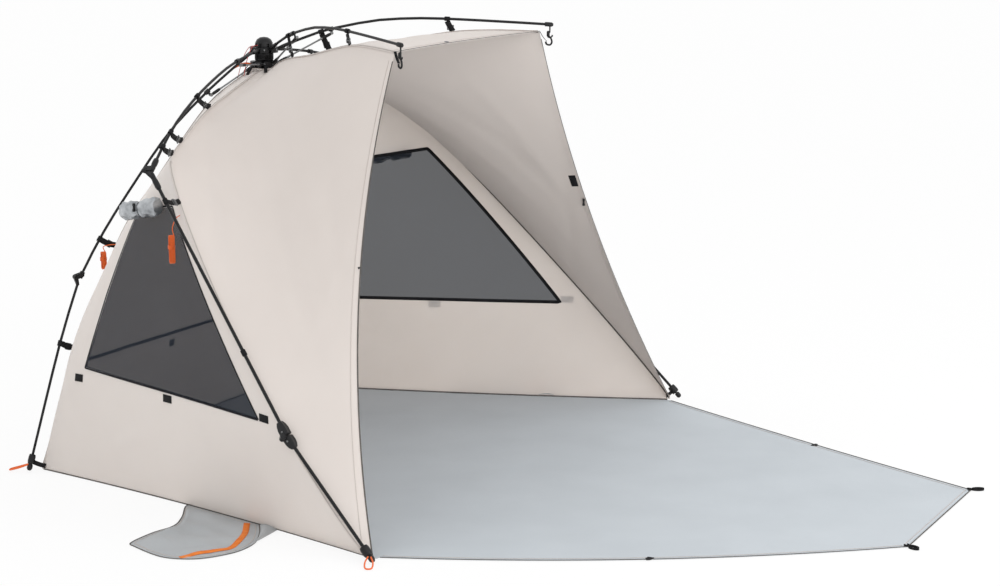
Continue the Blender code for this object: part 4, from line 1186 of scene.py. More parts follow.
@dataclass
class Canopy:
    """The five canopy panels, their windows and the trim sewn on them.

    Args:
        net_ease: netting's flat size as shares of the window's depth and height.
        window: window outline as (depth, height) on plan.
        corner_reach: how far a corner moves where the sides move by one.
        bindings: name of each window binding, its shift outwards and its width.
        binding_band: thickness of the bindings and their gap to the wall.
        seam_fold: width, thickness and lift of the fold on a seam.
        lining: radius of a seam's lining and its drop below the cloth.
        piping: width and thickness of an edge piping.
        stitch_rows: shares of the stitched rows of front panel and roof.
        patch_waves: height of the patch's waves, its dip and its drop.
    """

    pattern: TentPattern
    cloth: float = 0.0013
    net: float = 0.0006
    net_ease: Pair = (1.12, 1.3)
    window: tuple = ((1.350, 0.380), (1.258, 0.640), (1.145, 0.928), (0.905, 0.966), (0.450, 0.368))
    window_step: float = 0.010
    corner_reach: float = 1.3
    bindings: tuple = (("outer", 0.004, 0.006), ("inner", 0.005, 0.013))
    binding_band: Pair = (0.0009, 0.0002)
    tape_width: float = 0.012
    seam_fold: Triple = (0.0032, 0.0012, 0.0009)
    lining: Pair = (0.0028, 0.002)
    piping: Pair = (0.0045, 0.0010)
    stitch_width: float = 0.0018
    seam_span: Pair = (0.02, 0.995)
    stitch_span: Pair = (0.02, 0.98)
    edge_rows: float = 0.997
    stitch_rows: Pair = (0.975, 0.965)
    patch_rim: float = 0.0005
    patch_waves: Triple = (0.0012, 0.0010, 0.0014)
    patch_steps: tuple[int, int] = (13, 49)
    front_creases: tuple = (
        Crease((0.62, 0.03), (0.95, 0.42), -0.006, 0.030), Crease((0.85, 0.05), (0.62, 0.50), 0.005, 0.026),
        Crease((0.20, 0.30), (0.55, 0.95), 0.005, 0.034), Crease((0.35, 0.20), (0.75, 0.90), -0.005, 0.030),
        Crease((0.90, 0.70), (0.30, 0.98), 0.004, 0.026), Crease((0.08, 0.60), (0.60, 0.97), -0.004, 0.028))
    wall_creases: tuple = (
        Crease((0.95, 0.40), (0.55, 0.58), 0.006, 0.026), Crease((0.95, 0.40), (0.62, 0.78), -0.005, 0.026),
        Crease((0.10, 0.62), (0.45, 0.97), 0.006, 0.034), Crease((0.05, 0.80), (0.60, 0.95), -0.005, 0.030),
        Crease((0.60, 0.97), (0.90, 0.84), 0.005, 0.026), Crease((0.12, 0.30), (0.10, 0.75), -0.005, 0.030))
    rear_creases: tuple = (
        Crease((0.05, 0.45), (0.40, 0.95), 0.007, 0.034), Crease((0.95, 0.45), (0.60, 0.95), 0.007, 0.034),
        Crease((0.30, 0.20), (0.20, 0.70), -0.006, 0.030), Crease((0.70, 0.20), (0.80, 0.70), -0.006, 0.030),
        Crease((0.50, 0.25), (0.52, 0.80), 0.004, 0.040))
    roof_creases: tuple = (
        Crease((0.20, 0.25), (0.35, 0.95), 0.006, 0.030), Crease((0.80, 0.25), (0.66, 0.95), 0.006, 0.030),
        Crease((0.10, 0.80), (0.90, 0.93), -0.007, 0.040), Crease((0.48, 0.30), (0.52, 0.85), -0.005, 0.034))
    sheets: dict[str, ClothSheet] = field(default_factory=dict)
    skins: dict[str, Skin] = field(default_factory=dict)

    def build(self) -> None:
        """Make the panels, then the trim."""
        self.sheets["roof_panel"] = ClothSheet("roof_cloth", self.pattern.roof(), self.roof_creases)
        self.sheets["rear_wall"] = ClothSheet("rear_wall_cloth", self.pattern.rear_wall(), self.rear_creases)
        for side in Side:
            self.sheets["front_panel_" + side.label] = ClothSheet(
                "front_cloth_" + side.label, self.pattern.front_panel(side), self.front_creases)
            self.sheets["side_wall_" + side.label] = ClothSheet(
                "side_wall_cloth_" + side.label, self.pattern.side_wall(side), self.wall_creases)
        opened = {node: sheet.build() for node, sheet in self.sheets.items()}
        self.skins["all"] = Skin(*opened.values())
        for node, piece in opened.items():
            self.skins[node] = Skin(piece)
        for node, piece in opened.items():
            if node.startswith("side_wall"):
                self.cut_window(piece, Side[node.rsplit("_", 1)[1].upper()])
            self.dress_panel(node, piece)
        self.sew_seams()
        self.build_hub_patch()

    def on_wall(self, side: Side, spots: Sequence[Pair]) -> tuple[Array, Array]:
        """Return places and facings on a side wall, by their depths and heights on plan."""
        places = np.array([plan(side.value * BESIDE_TENT, *spot) for spot in spots])
        return self.skins["side_wall_" + side.label].cast(places, (-side.value, 0.0, 0.0))

    def dress_panel(self, node: str, piece: Piece) -> None:
        """Args:
            node: the frame node.
            piece: the open panel.
        """
        thicken(piece, self.cloth)
        # Walls take the more glowing copy of the cloth, painted light on their inner faces.
        settle(piece, LIT_WALL_CLOTH if "wall" in node else CANOPY, gathers=True, stands_for=[node])
        declare_sheet(piece, self.sheets[node].size())

    def cut_window(self, wall: Piece, side: Side) -> None:
        """Cut a wall along its window's outline and make the netting from what comes out.

        Args:
            wall: the open wall sheet.
            side: its side.
        """
        outline = [plan(0.0, *place) for place in self.window]
        middle = sum(outline) / len(outline)
        cuts = [(start, np.cross(end - start, (1.0, 0.0, 0.0)))
                for start, end in zip(outline, outline[1:] + outline[:1])]
        cut = bmesh.new()
        cut.from_mesh(wall.data)
        for start, square in cuts:
            bmesh.ops.bisect_plane(cut, geom=cut.verts[:] + cut.edges[:] + cut.faces[:], dist=WELD_GAP,
                                   plane_co=start, plane_no=unit(square))

        def within(face: bmesh.types.BMFace) -> bool:
            """Tell whether a face lies inside the outline."""
            spot = np.array(face.calc_center_median())
            return all((spot - start) @ square * ((middle - start) @ square) >= 0 for start, square in cuts)

        cut.faces.index_update()
        inner = [face.index for face in cut.faces if within(face)]
        outer = sorted({face.index for face in cut.faces} - set(inner))
        net = own_copy(wall, "window_net_" + side.label)
        for piece, spare in ((wall, inner), (net, outer)):
            kept = cut.copy()
            kept.faces.ensure_lookup_table()
            bmesh.ops.delete(kept, geom=[kept.faces[number] for number in spare], context="FACES")
            kept.to_mesh(piece.data)
            kept.free()
        cut.free()
        thicken(net, self.net)
        settle(net, NET, gathers=True, stands_for=["window_mesh_" + side.label])
        size = np.ptp(self.window, axis=0) * self.net_ease
        declare_sheet(net, tuple(size.tolist()))

    def window_edge(self, side: Side, grow: float) -> tuple[Array, Array]:
        """Return places and facings along the window's outline on the wall.

        Args:
            side: the wall's side.
            grow: distance by which the outline is moved outwards.

        Returns:
            Closed line of places, and the wall's facing at each.
        """
        outline = np.array([plan(side.value * BESIDE_TENT, *place) for place in self.window])
        middle = outline.mean(axis=0)
        outline = outline + unit(outline - middle) * grow * self.corner_reach
        edge = Line(np.vstack((outline, outline[:1]))).part(0.0, 1.0, self.window_step)
        return self.skins["side_wall_" + side.label].cast(edge, (-side.value, 0.0, 0.0))

    def sew_seams(self) -> None:
        """Lay tapes, piping and stitches along seams, edges and windows."""
        skin, roof = self.skins["all"], self.sheets["roof_panel"]
        trim: list[tuple[Piece, Finish]] = []
        for side in Side:
            for name, line in self.pattern.seams(side).items():
                places = line.part(*self.seam_span)
                label = f"{name}_{side.label}"
                if name in ("front", "hem"):
                    trim.append((skin.tape("edge_piping_" + label, places, *self.piping), PIPING))
                    continue
                trim.append((skin.tape("seam_tape_" + label, places, self.tape_width), CANOPY))
                width, thickness, lift = self.seam_fold
                # The fold on each seam wears the darker copy of the canopy cloth, a painted shade.
                trim.append((skin.tape("seam_piping_" + label, places, width, thickness, lift=lift), SEAM_FOLD_SHADE))
                seats, facings = skin.seat(places)
                radius, drop = self.lining
                inner = seats - facings * (self.cloth + drop)
                trim.append((tube("seam_lining_" + label, inner, radius, sides=6), PIPING))
            stitched = self.sheets["front_panel_" + side.label].row(self.stitch_rows[0], *self.stitch_span)
            trim.append((skin.tape("front_stitch_" + side.label, stitched, self.stitch_width), STITCH))
            for name, grow, width in self.bindings:
                places, facings = self.window_edge(side, grow)
                if name == "inner":
                    places, facings = places - facings * self.cloth, -facings
                trim.append((ribbon(f"window_binding_{name}_{side.label}", places, facings, width,
                                    *self.binding_band), BINDING))
        trim.append((skin.tape("roof_edge_piping", roof.row(self.edge_rows), *self.piping), PIPING))
        stitched = roof.row(self.stitch_rows[1], *self.stitch_span)
        trim.append((skin.tape("roof_stitch", stitched, self.stitch_width), STITCH))
        hem = self.sheets["rear_wall"].row(self.edge_rows)
        trim.append((skin.tape("rear_hem_piping", hem, *self.piping), PIPING))
        for piece, finish in trim:
            sew(piece, finish)

    def build_hub_patch(self) -> None:
        """Make the round patch that closes the canopy under the hub."""
        low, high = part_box("hub_patch")
        middle = np.array(((low.x + high.x) / 2, (low.y + high.y) / 2, high.z))
        radius = (high.x - low.x) / 2 - self.patch_rim
        share, turn = round_grid(*self.patch_steps)
        wave, dip, drop = self.patch_waves
        sag = wave * np.cos(turn * len(Pole) * len(Side)) * share ** 2 - dip * (1 - share)
        places = middle + np.stack((radius * share * np.cos(turn), radius * share * np.sin(turn), sag - drop),
                                   axis=-1)
        patch = grid("hub_patch_cloth", places, places[..., :2])
        weld = patch.modifiers.new("Close", "WELD")
        weld.merge_threshold = WELD_GAP
        thicken(patch, self.cloth)
        settle(patch, CANOPY, gathers=True, stands_for=["hub_patch"])
        declare_sheet(patch, (2 * radius, 2 * radius))


# Rigid fittings, modelled by hand

FaceTest = Callable[[Vector, Vector], bool]


def take(name: str, size: Sequence[float] = (1.0, 1.0, 1.0)) -> Piece:
    """Name the primitive that was just added, and keep its place and size in its mesh.

    Args:
        name: piece name.
        size: size along each axis, as a multiple of the primitive's own.

    Returns:
        The primitive.
    """
    piece = bpy.context.object
    piece.name = piece.data.name = name
    only(piece)
    piece.scale = size
    bpy.ops.object.transform_apply(location=True, rotation=True, scale=True)
    return piece


def cylinder(name: str, sides: int, radius: float, depth: float, base: bool = False) -> Piece:
    """Start a fitting as a cylinder along Z, round the origin or standing on it."""
    bpy.ops.mesh.primitive_cylinder_add(vertices=sides, radius=radius, depth=depth,
                                        location=(0.0, 0.0, depth / 2 if base else 0.0))
    return take(name)


def pick(piece: Piece, test: FaceTest) -> None:
    """Open a piece for editing with some faces selected.

    Args:
        piece: the piece.
        test: takes a face's middle and facing, and tells whether it is selected.
    """
    if bpy.context.mode == "EDIT_MESH":
        bpy.ops.object.mode_set(mode="OBJECT")
    only(piece)
    bpy.ops.object.mode_set(mode="EDIT")
    bpy.ops.mesh.select_mode(type="FACE")
    bpy.ops.mesh.select_all(action="DESELECT")
    bpy.ops.object.mode_set(mode="OBJECT")
    for face in piece.data.polygons:
        face.select = test(face.center, face.normal)
    bpy.ops.object.mode_set(mode="EDIT")


def pick_end(piece: Piece, end: float = 1.0) -> None:
    """Open a piece with the faces at its upper end selected, or at its lower end with -1."""
    pick(piece, lambda middle, facing: facing.z * end > NEARLY)


def pick_round(piece: Piece) -> None:
    """Open a piece with the faces round its Z axis selected."""
    pick(piece, lambda middle, facing: abs(facing.z) < 0.5)


def draw_out(rise: float) -> None:
    """Extrude the selected faces along Z."""
    bpy.ops.mesh.extrude_region_move(TRANSFORM_OT_translate={"value": (0.0, 0.0, rise)})


def round_off(piece: Piece, bevel: float, segments: int = 2, smooth: float = 40.0) -> Piece:
    """Leave edit mode, round the edges and shade the piece.

    Args:
        piece: the piece.
        bevel: width of the rounded edges.
        segments: steps of the rounding.
        smooth: edges below this angle are shaded smooth, in degrees.

    Returns:
        The same piece.
    """
    if bpy.context.mode == "EDIT_MESH":
        bpy.ops.object.mode_set(mode="OBJECT")
    if bevel:
        edge = piece.modifiers.new("Edges", "BEVEL")
        edge.width = bevel
        edge.segments = segments
        edge.limit_method = "ANGLE"
        edge.angle_limit = math.radians(BEVEL_ANGLE)
    return apply_modifiers(piece, smooth)


def stand(place: Sequence[float], up: Sequence[float], front: Sequence[float] = (1.0, 0.0, 0.0)) -> Matrix:
    """Return the place of a fitting by its origin, its Z way and about its X way.

    Args:
        place: where its origin goes.
        up: the way its Z axis points.
        front: about the way its X axis points.

    Returns:
        The matrix that moves it there.
    """
    z = Vector(up).normalized()
    x = Vector(front) - z * z.dot(Vector(front))
    if x.length < ALONG_AXIS:
        x = z.orthogonal()
    x.normalize()
    turn = Matrix((x, z.cross(x), z)).transposed().to_4x4()
    return Matrix.Translation(Vector(place)) @ turn


@dataclass
class Fittings:
    """The small moulded and metal fittings, each modelled once and kept by kind.

    Args:
        rivet_size: radius and height.
        rivet_rings: width and rise of each ring of its dome and its dimple.
        sleeve_end: taper, rim and hollow of its ends, as shares of its radius and length.
        buckle_size: width, length and thickness.
        buckle_bar: width of its frame, half the width of its middle bar and the bar's rise.
        knee_size: width, depth and height of its lowest block.
        knee_steps: rise, and share of width and depth, of each block above it.
        toggle_size: radius and length.
        toggle_waist: half the waist's length and its share of the radius.
        eyelet_size: radius of its middle line and of its section.
        skirt_size: radius and height.
        skirt_lug: angle between its lugs, half a lug's angle, and a lug's reach.
        barrel_size: radius, length between its necks and length of a neck.
    """

    rivet_size: Pair = (0.003, 0.002)
    rivet_rings: tuple = ((0.0008, 0.0006), (0.0009, 0.0002), (0.0003, -0.0004))
    sleeve_end: Triple = (0.86, 0.16, 0.04)
    buckle_size: Triple = (0.018, 0.020, 0.0026)
    buckle_bar: Triple = (0.0024, 0.003, 0.0014)
    knee_size: Triple = (0.032, 0.022, 0.020)
    knee_steps: tuple = ((0.012, 0.84, 0.90), (0.010, 0.66, 0.80))
    toggle_size: Pair = (0.0052, 0.026)
    toggle_waist: Pair = (0.003, 0.72)
    eyelet_size: Pair = (0.0060, 0.0021)
    skirt_size: Pair = (0.031, 0.022)
    skirt_lug: Triple = (60.0, 11.0, 0.0045)
    barrel_size: Triple = (0.0056, 0.016, 0.003)
    made: dict[str, Piece] = field(default_factory=dict)

    def build(self) -> None:
        """Model every kind of fitting at the origin."""
        for maker in (self.rivet, self.sleeve, self.buckle, self.knee_shell, self.toggle, self.eyelet,
                      self.snap_barrel, self.hub_skirt):
            bpy.ops.object.select_all(action="DESELECT")
            self.made[maker.__name__] = maker()

    def clear(self) -> None:
        """Remove the models once all copies are placed."""
        for piece in self.made.values():
            bpy.data.objects.remove(piece, do_unlink=True)

    def put(self, kind: str, name: str, place: Matrix, finish: Finish, body: str = "tent",
            gathers: bool = False) -> None:
        """Place a copy of a fitting.

        Args:
            kind: which fitting.
            name: piece name.
            place: its place.
            finish: its finish.
            body: the body that it rides on.
            gathers: whether it gets its own mesh.
        """
        made = own_copy(self.made[kind], name)
        made.data.transform(place)
        settle(made, finish, body, gathers)

    def rivet(self) -> Piece:
        """Model a domed pin head with a dimple, on the plane Z = 0.

        Returns:
            The model.
        """
        piece = cylinder("rivet_model", 16, *self.rivet_size, base=True)
        pick_end(piece)
        for thickness, depth in self.rivet_rings:
            bpy.ops.mesh.inset(thickness=thickness, depth=depth)
        return round_off(piece, 0.0002)

    def sleeve(self) -> Piece:
        """Model a tapered sleeve of length one and radius one along Z, hollow at its ends.

        Returns:
            The model.
        """
        taper, rim, hollow = self.sleeve_end
        piece = cylinder("sleeve_model", 20, 1.0, 1.0)
        pick_round(piece)
        bpy.ops.mesh.subdivide(number_cuts=3)
        for end in (1.0, -1.0):
            pick_end(piece, end)
            bpy.ops.transform.resize(value=(taper, taper, 1.0))
            bpy.ops.mesh.inset(thickness=rim)
            draw_out(-hollow * end)
        return round_off(piece, 0.03)

    def buckle(self) -> Piece:
        """Model a two-slot ladder buckle, flat on Z = 0 with its slots across Y.

        Returns:
            The model.
        """
        bpy.ops.mesh.primitive_grid_add(x_subdivisions=1, y_subdivisions=2, size=1.0)
        width, length, thickness = self.buckle_size
        rim, bar, rise = self.buckle_bar
        piece = take("buckle_model", (width, length, 1.0))
        pick(piece, lambda middle, facing: True)
        bpy.ops.mesh.inset(thickness=rim, use_individual=True)
        bpy.ops.mesh.delete(type="FACE")
        bpy.ops.object.mode_set(mode="OBJECT")
        plate = piece.modifiers.new("Plate", "SOLIDIFY")
        plate.thickness = thickness
        plate.offset = 0.0
        apply_modifiers(piece)
        pick(piece, lambda middle, facing: facing.z > NEARLY and abs(middle.y) < bar)
        bpy.ops.transform.translate(value=(0, 0, rise))
        return round_off(piece, 0.0006)

    def knee_shell(self) -> Piece:
        """Model the moulded shell of a front knee along Z, narrowed upwards, its lower end at Z = 0.

        Returns:
            The model.
        """
        bpy.ops.mesh.primitive_cube_add(size=1.0)
        piece = take("knee_shell_model", self.knee_size)
        pick(piece, lambda middle, facing: True)
        bpy.ops.transform.translate(value=(0.0, 0.0, self.knee_size[2] / 2))
        for rise, width, depth in self.knee_steps:
            pick_end(piece)
            draw_out(rise)
            bpy.ops.transform.resize(value=(width, depth, 1.0))
        pick(piece, lambda middle, facing: abs(facing.x) > NEARLY)
        bpy.ops.mesh.inset(thickness=0.0040, depth=-0.0010)
        pick(piece, lambda middle, facing: abs(facing.y) > NEARLY)
        bpy.ops.mesh.inset(thickness=0.0045, depth=0.0010)
        return round_off(piece, 0.0040, 4)

    def toggle(self) -> Piece:
        """Model a barrel toggle along Z, waisted for its cord.

        Returns:
            The model.
        """
        half, waist = self.toggle_waist
        piece = cylinder("toggle_model", 16, *self.toggle_size)
        pick_round(piece)
        bpy.ops.mesh.subdivide(number_cuts=4)
        pick(piece, lambda middle, facing: abs(middle.z) < half and abs(facing.z) < 0.5)
        bpy.ops.transform.resize(value=(waist, waist, 1.0))
        for end in (1.0, -1.0):
            pick_end(piece, end)
            bpy.ops.mesh.inset(thickness=0.0016, depth=0.0008)
        return round_off(piece, 0.0007)

    def eyelet(self) -> Piece:
        """Model a rolled metal eyelet on the plane Z = 0.

        Returns:
            The model.
        """
        bpy.ops.mesh.primitive_circle_add(vertices=12, radius=self.eyelet_size[1], fill_type="NGON",
                                          location=(self.eyelet_size[0], 0.0, 0.0),
                                          rotation=(math.pi / 2, 0.0, 0.0))
        piece = take("eyelet_model")
        pick(piece, lambda middle, facing: True)
        bpy.ops.mesh.spin(steps=28, angle=FULL_TURN, center=(0, 0, 0), axis=(0, 0, 1))
        bpy.ops.mesh.select_all(action="SELECT")
        bpy.ops.mesh.remove_doubles(threshold=WELD_GAP)
        bpy.ops.mesh.delete_loose()
        bpy.ops.mesh.select_all(action="SELECT")
        bpy.ops.mesh.normals_make_consistent(inside=False)
        bpy.ops.transform.resize(value=(1.0, 1.0, 0.7))
        bpy.ops.object.mode_set(mode="OBJECT")
        shell = bmesh.new()
        shell.from_mesh(piece.data)
        inner = [face for face in shell.faces if len(face.verts) > 4]
        bmesh.ops.delete(shell, geom=inner, context="FACES_ONLY")
        bmesh.ops.recalc_face_normals(shell, faces=shell.faces)
        shell.to_mesh(piece.data)
        shell.free()
        return round_off(piece, 0.0, smooth=60.0)

    def hub_skirt(self) -> Piece:
        """Model the ribbed skirt of a hub on Z = 0, with lugs between its poles.

        Returns:
            The model.
        """
        pitch, half, reach = self.skirt_lug
        piece = cylinder("hub_skirt_model", 36, *self.skirt_size, base=True)
        pick(piece, lambda middle, facing: abs(facing.z) < 0.5
             and abs(math.degrees(math.atan2(facing.y, facing.x)) % pitch - pitch / 2) < half)
        bpy.ops.mesh.extrude_region_shrink_fatten(TRANSFORM_OT_shrink_fatten={"value": reach})
        bpy.ops.transform.resize(value=(1.0, 1.0, 0.72))
        pick(piece, lambda middle, facing: facing.z > NEARLY and middle.length < self.skirt_size[0])
        for thickness, depth in ((0.004, 0.002), (0.003, -0.002)):
            bpy.ops.mesh.inset(thickness=thickness, depth=depth)
        return round_off(piece, 0.0009)

    def snap_barrel(self) -> Piece:
        """Model the swivel barrel of a snap hook along Z, with a neck at each end.

        Returns:
            The model.
        """
        radius, length, neck = self.barrel_size
        piece = cylinder("snap_barrel_model", 14, radius, length)
        for end in (1.0, -1.0):
            pick_end(piece, end)
            bpy.ops.mesh.inset(thickness=0.0011, depth=0.0)
            draw_out(neck * end)
            bpy.ops.transform.resize(value=(0.7, 0.7, 1.0))
        return round_off(piece, 0.0005)


@dataclass
class FrameDress:
    """Finishes of the frame's own nodes, and the fittings on hub, poles and joints.

    Args:
        finishes: start of a node's name, and its finish.
        hubs: node, body, drop of its pins and of its skirt below the pole pins, and the skirt's way.
        root_sleeve: start, length and radius of the sleeve at a pole's root.
        strut_sleeve: length and radius of a strut's sleeves.
        elbow_sleeves: where the sleeve on each pole of an elbow starts and ends, and its radius.
        knee_lengths: length of the upper and lower shell against the model's.
        knee_screw: place of a shell's screw along the leg and out from it.
    """

    pattern: TentPattern
    fittings: Fittings
    finishes: tuple = (("awning_pole", POLE), ("front_arm", POLE), ("front_leg", POLE), ("rear_leg", POLE),
                       ("strut_collar", PLASTIC), ("strut_", STEEL), ("", PLASTIC))
    sharp: float = 38.0
    hubs: tuple = (("upper_hub", "hub_slider", 0.0, 0.0115, -1.0), ("lower_hub", "tent", 0.050, 0.0385, 1.0))
    rivet_angles: tuple = (0.0, 57.0, 100.0, 180.0, 260.0, 303.0)
    rivet_sink: float = 0.0002
    root_sleeve: Triple = (0.016, 0.052, 0.0068)
    strut_sleeve: Pair = (0.034, 0.0056)
    strut_starts: Pair = (0.016, 0.010)
    elbow_sleeves: tuple = ((0.058, 0.028, 0.0096), (0.026, 0.064, 0.0094))
    knee_gap: float = 0.0022
    knee_lengths: Pair = (1.2, 1.0)
    knee_screw: Pair = (0.016, 0.0124)

    def build(self) -> None:
        """Dress the nodes that stay in view, then add the fittings."""
        for name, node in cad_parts.items():
            if not node.hide_render:
                self.dress(name, node)
        self.hub_rivets()
        self.hub_skirts()
        for side in Side:
            self.sleeves(side)
            self.knee(side)
            self.elbow(side)

    def dress(self, name: str, node: Piece) -> None:
        """Give a frame node its finish and smooth shading over its round faces.

        Args:
            name: the node's name.
            node: the node.
        """
        finish = next(finish for start, finish in self.finishes if name.startswith(start))
        node.data.materials.clear()
        node.data.materials.append(finish.material())
        for face in node.data.polygons:
            face.use_smooth = True
        weld = node.modifiers.new("Weld", "WELD")
        weld.merge_threshold = WELD_GAP
        split = node.modifiers.new("Corners", "EDGE_SPLIT")
        split.split_angle = math.radians(self.sharp)
        LOG.info("%s: %s", name, finish.name)

    def hub_rivets(self) -> None:
        """Set pin heads round both hubs, in the gaps between the poles."""
        for name, body, drop, _, _ in self.hubs:
            low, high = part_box(name)
            middle = (low + high) / 2
            reach = (high.x - low.x) / 2 - self.rivet_sink
            for number, angle in enumerate(self.rivet_angles):
                turn = math.radians(angle)
                away = Vector((math.sin(turn), -math.cos(turn), 0.0))
                place = Vector((middle.x, middle.y, self.pattern.pivot[1] - drop)) + away * reach
                self.fittings.put("rivet", f"{name}_rivet_{number}", stand(place, away), STEEL, body)

    def hub_skirts(self) -> None:
        """Set a ribbed skirt under the upper hub and one on the lower hub."""
        for name, body, _, drop, way in self.hubs:
            place = plan(0.0, self.pattern.hub_depth, self.pattern.pivot[1] - drop)
            self.fittings.put("hub_skirt", name + "_skirt", stand(place, UP * way), PLASTIC, body)

    def sleeve(self, name: str, start: Array, end: Array, radius: float, body: str) -> None:
        """Fit a sleeve between two places.

        Args:
            name: piece name.
            start: where it starts.
            end: where it ends.
            radius: its radius.
            body: the body that it rides on.
        """
        start, end = Vector(start), Vector(end)
        size = Matrix.Diagonal((radius, radius, (end - start).length, 1))
        self.fittings.put("sleeve", name, stand((start + end) / 2, end - start) @ size, PLASTIC, body)

    def sleeves(self, side: Side) -> None:
        """Fit sleeves at the pole roots and at both ends of each strut.

        Args:
            side: the poles' side.
        """
        begin, length, radius = self.root_sleeve
        strut_length, strut_radius = self.strut_sleeve
        for pole in Pole:
            kind = pole.name.lower()
            line = self.pattern.pole_line(side, pole)
            start = begin / line.length
            end = start + length / line.length
            self.sleeve(f"{kind}_root_sleeve_{side.label}", line.at(start), line.at(end), radius,
                        f"{kind}_arm_{side.label}")
            strut = f"strut_{kind}_{side.label}"
            near, far = self.strut_ends(strut)
            along = unit(far - near)
            for end, place, way, gap in zip(("low", "high"), (near, far), (along, -along), self.strut_starts):
                spot = place + way * gap
                self.sleeve(f"{kind}_strut_sleeve_{end}_{side.label}", spot, spot + way * strut_length,
                            strut_radius, strut)

    def strut_ends(self, node: str) -> tuple[Array, Array]:
        """Return a strut's two ends on its middle line.

        Args:
            node: the strut's node.

        Returns:
            The end at the hub and the end at the pole.
        """
        places = np.array([vertex.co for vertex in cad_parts[node].data.vertices])
        middle = places.mean(axis=0)
        along = np.linalg.svd(places - middle, full_matrices=False)[2][0]
        reach = (places - middle) @ along
        ends = [middle + along * reach.min(), middle + along * reach.max()]
        hub = plan(0.0, self.pattern.hub_depth, self.pattern.pivot[1] - self.hubs[1][2])
        return tuple(sorted(ends, key=lambda place: float(np.linalg.norm(place - hub))))

    def knee(self, side: Side) -> None:
        """Fit the two moulded shells of the front knee, one each side of its pin, with their screws.

        Args:
            side: the knee's side.
        """
        lines = self.pattern.lower_lines(side)
        out = np.array((side.value, 0.0, 0.0))
        poles = (("front_leg", 1.0, -1.0), ("front_shin", 0.0, 1.0))
        for (pole, share, way), length in zip(poles, self.knee_lengths):
            away = lines[pole].along(share) * way
            end = lines[pole].at(share)
            place = stand(end + away * self.knee_gap, away, np.cross(out, away))
            body = f"{pole}_{side.label}"
            self.fittings.put("knee_shell", "knee_shell_" + body, place @ Matrix.Diagonal((1, 1, length, 1)),
                              PLASTIC, body)
            facing = unit(out - away * (out @ away))
            screw = end + away * self.knee_screw[0] + facing * self.knee_screw[1]
            self.fittings.put("rivet", "knee_screw_" + body, stand(screw, facing), STEEL, body)

    def elbow(self, side: Side) -> None:
        """Fit a sleeve on each pole that meets at an elbow.

        Args:
            side: the elbow's side.
        """
        line = self.pattern.pole_line(side, Pole.FRONT)
        leg = self.pattern.lower_lines(side)["front_leg"]
        poles = (("socket", "front_arm", -line.along(1.0)), ("leg", "front_leg", leg.along(0.5)))
        for (name, pole, way), (start, end, radius) in zip(poles, self.elbow_sleeves):
            self.sleeve(f"elbow_{name}_sleeve_{side.label}", line.points[-1] + way * start,
                        line.points[-1] + way * end, radius, f"{pole}_{side.label}")


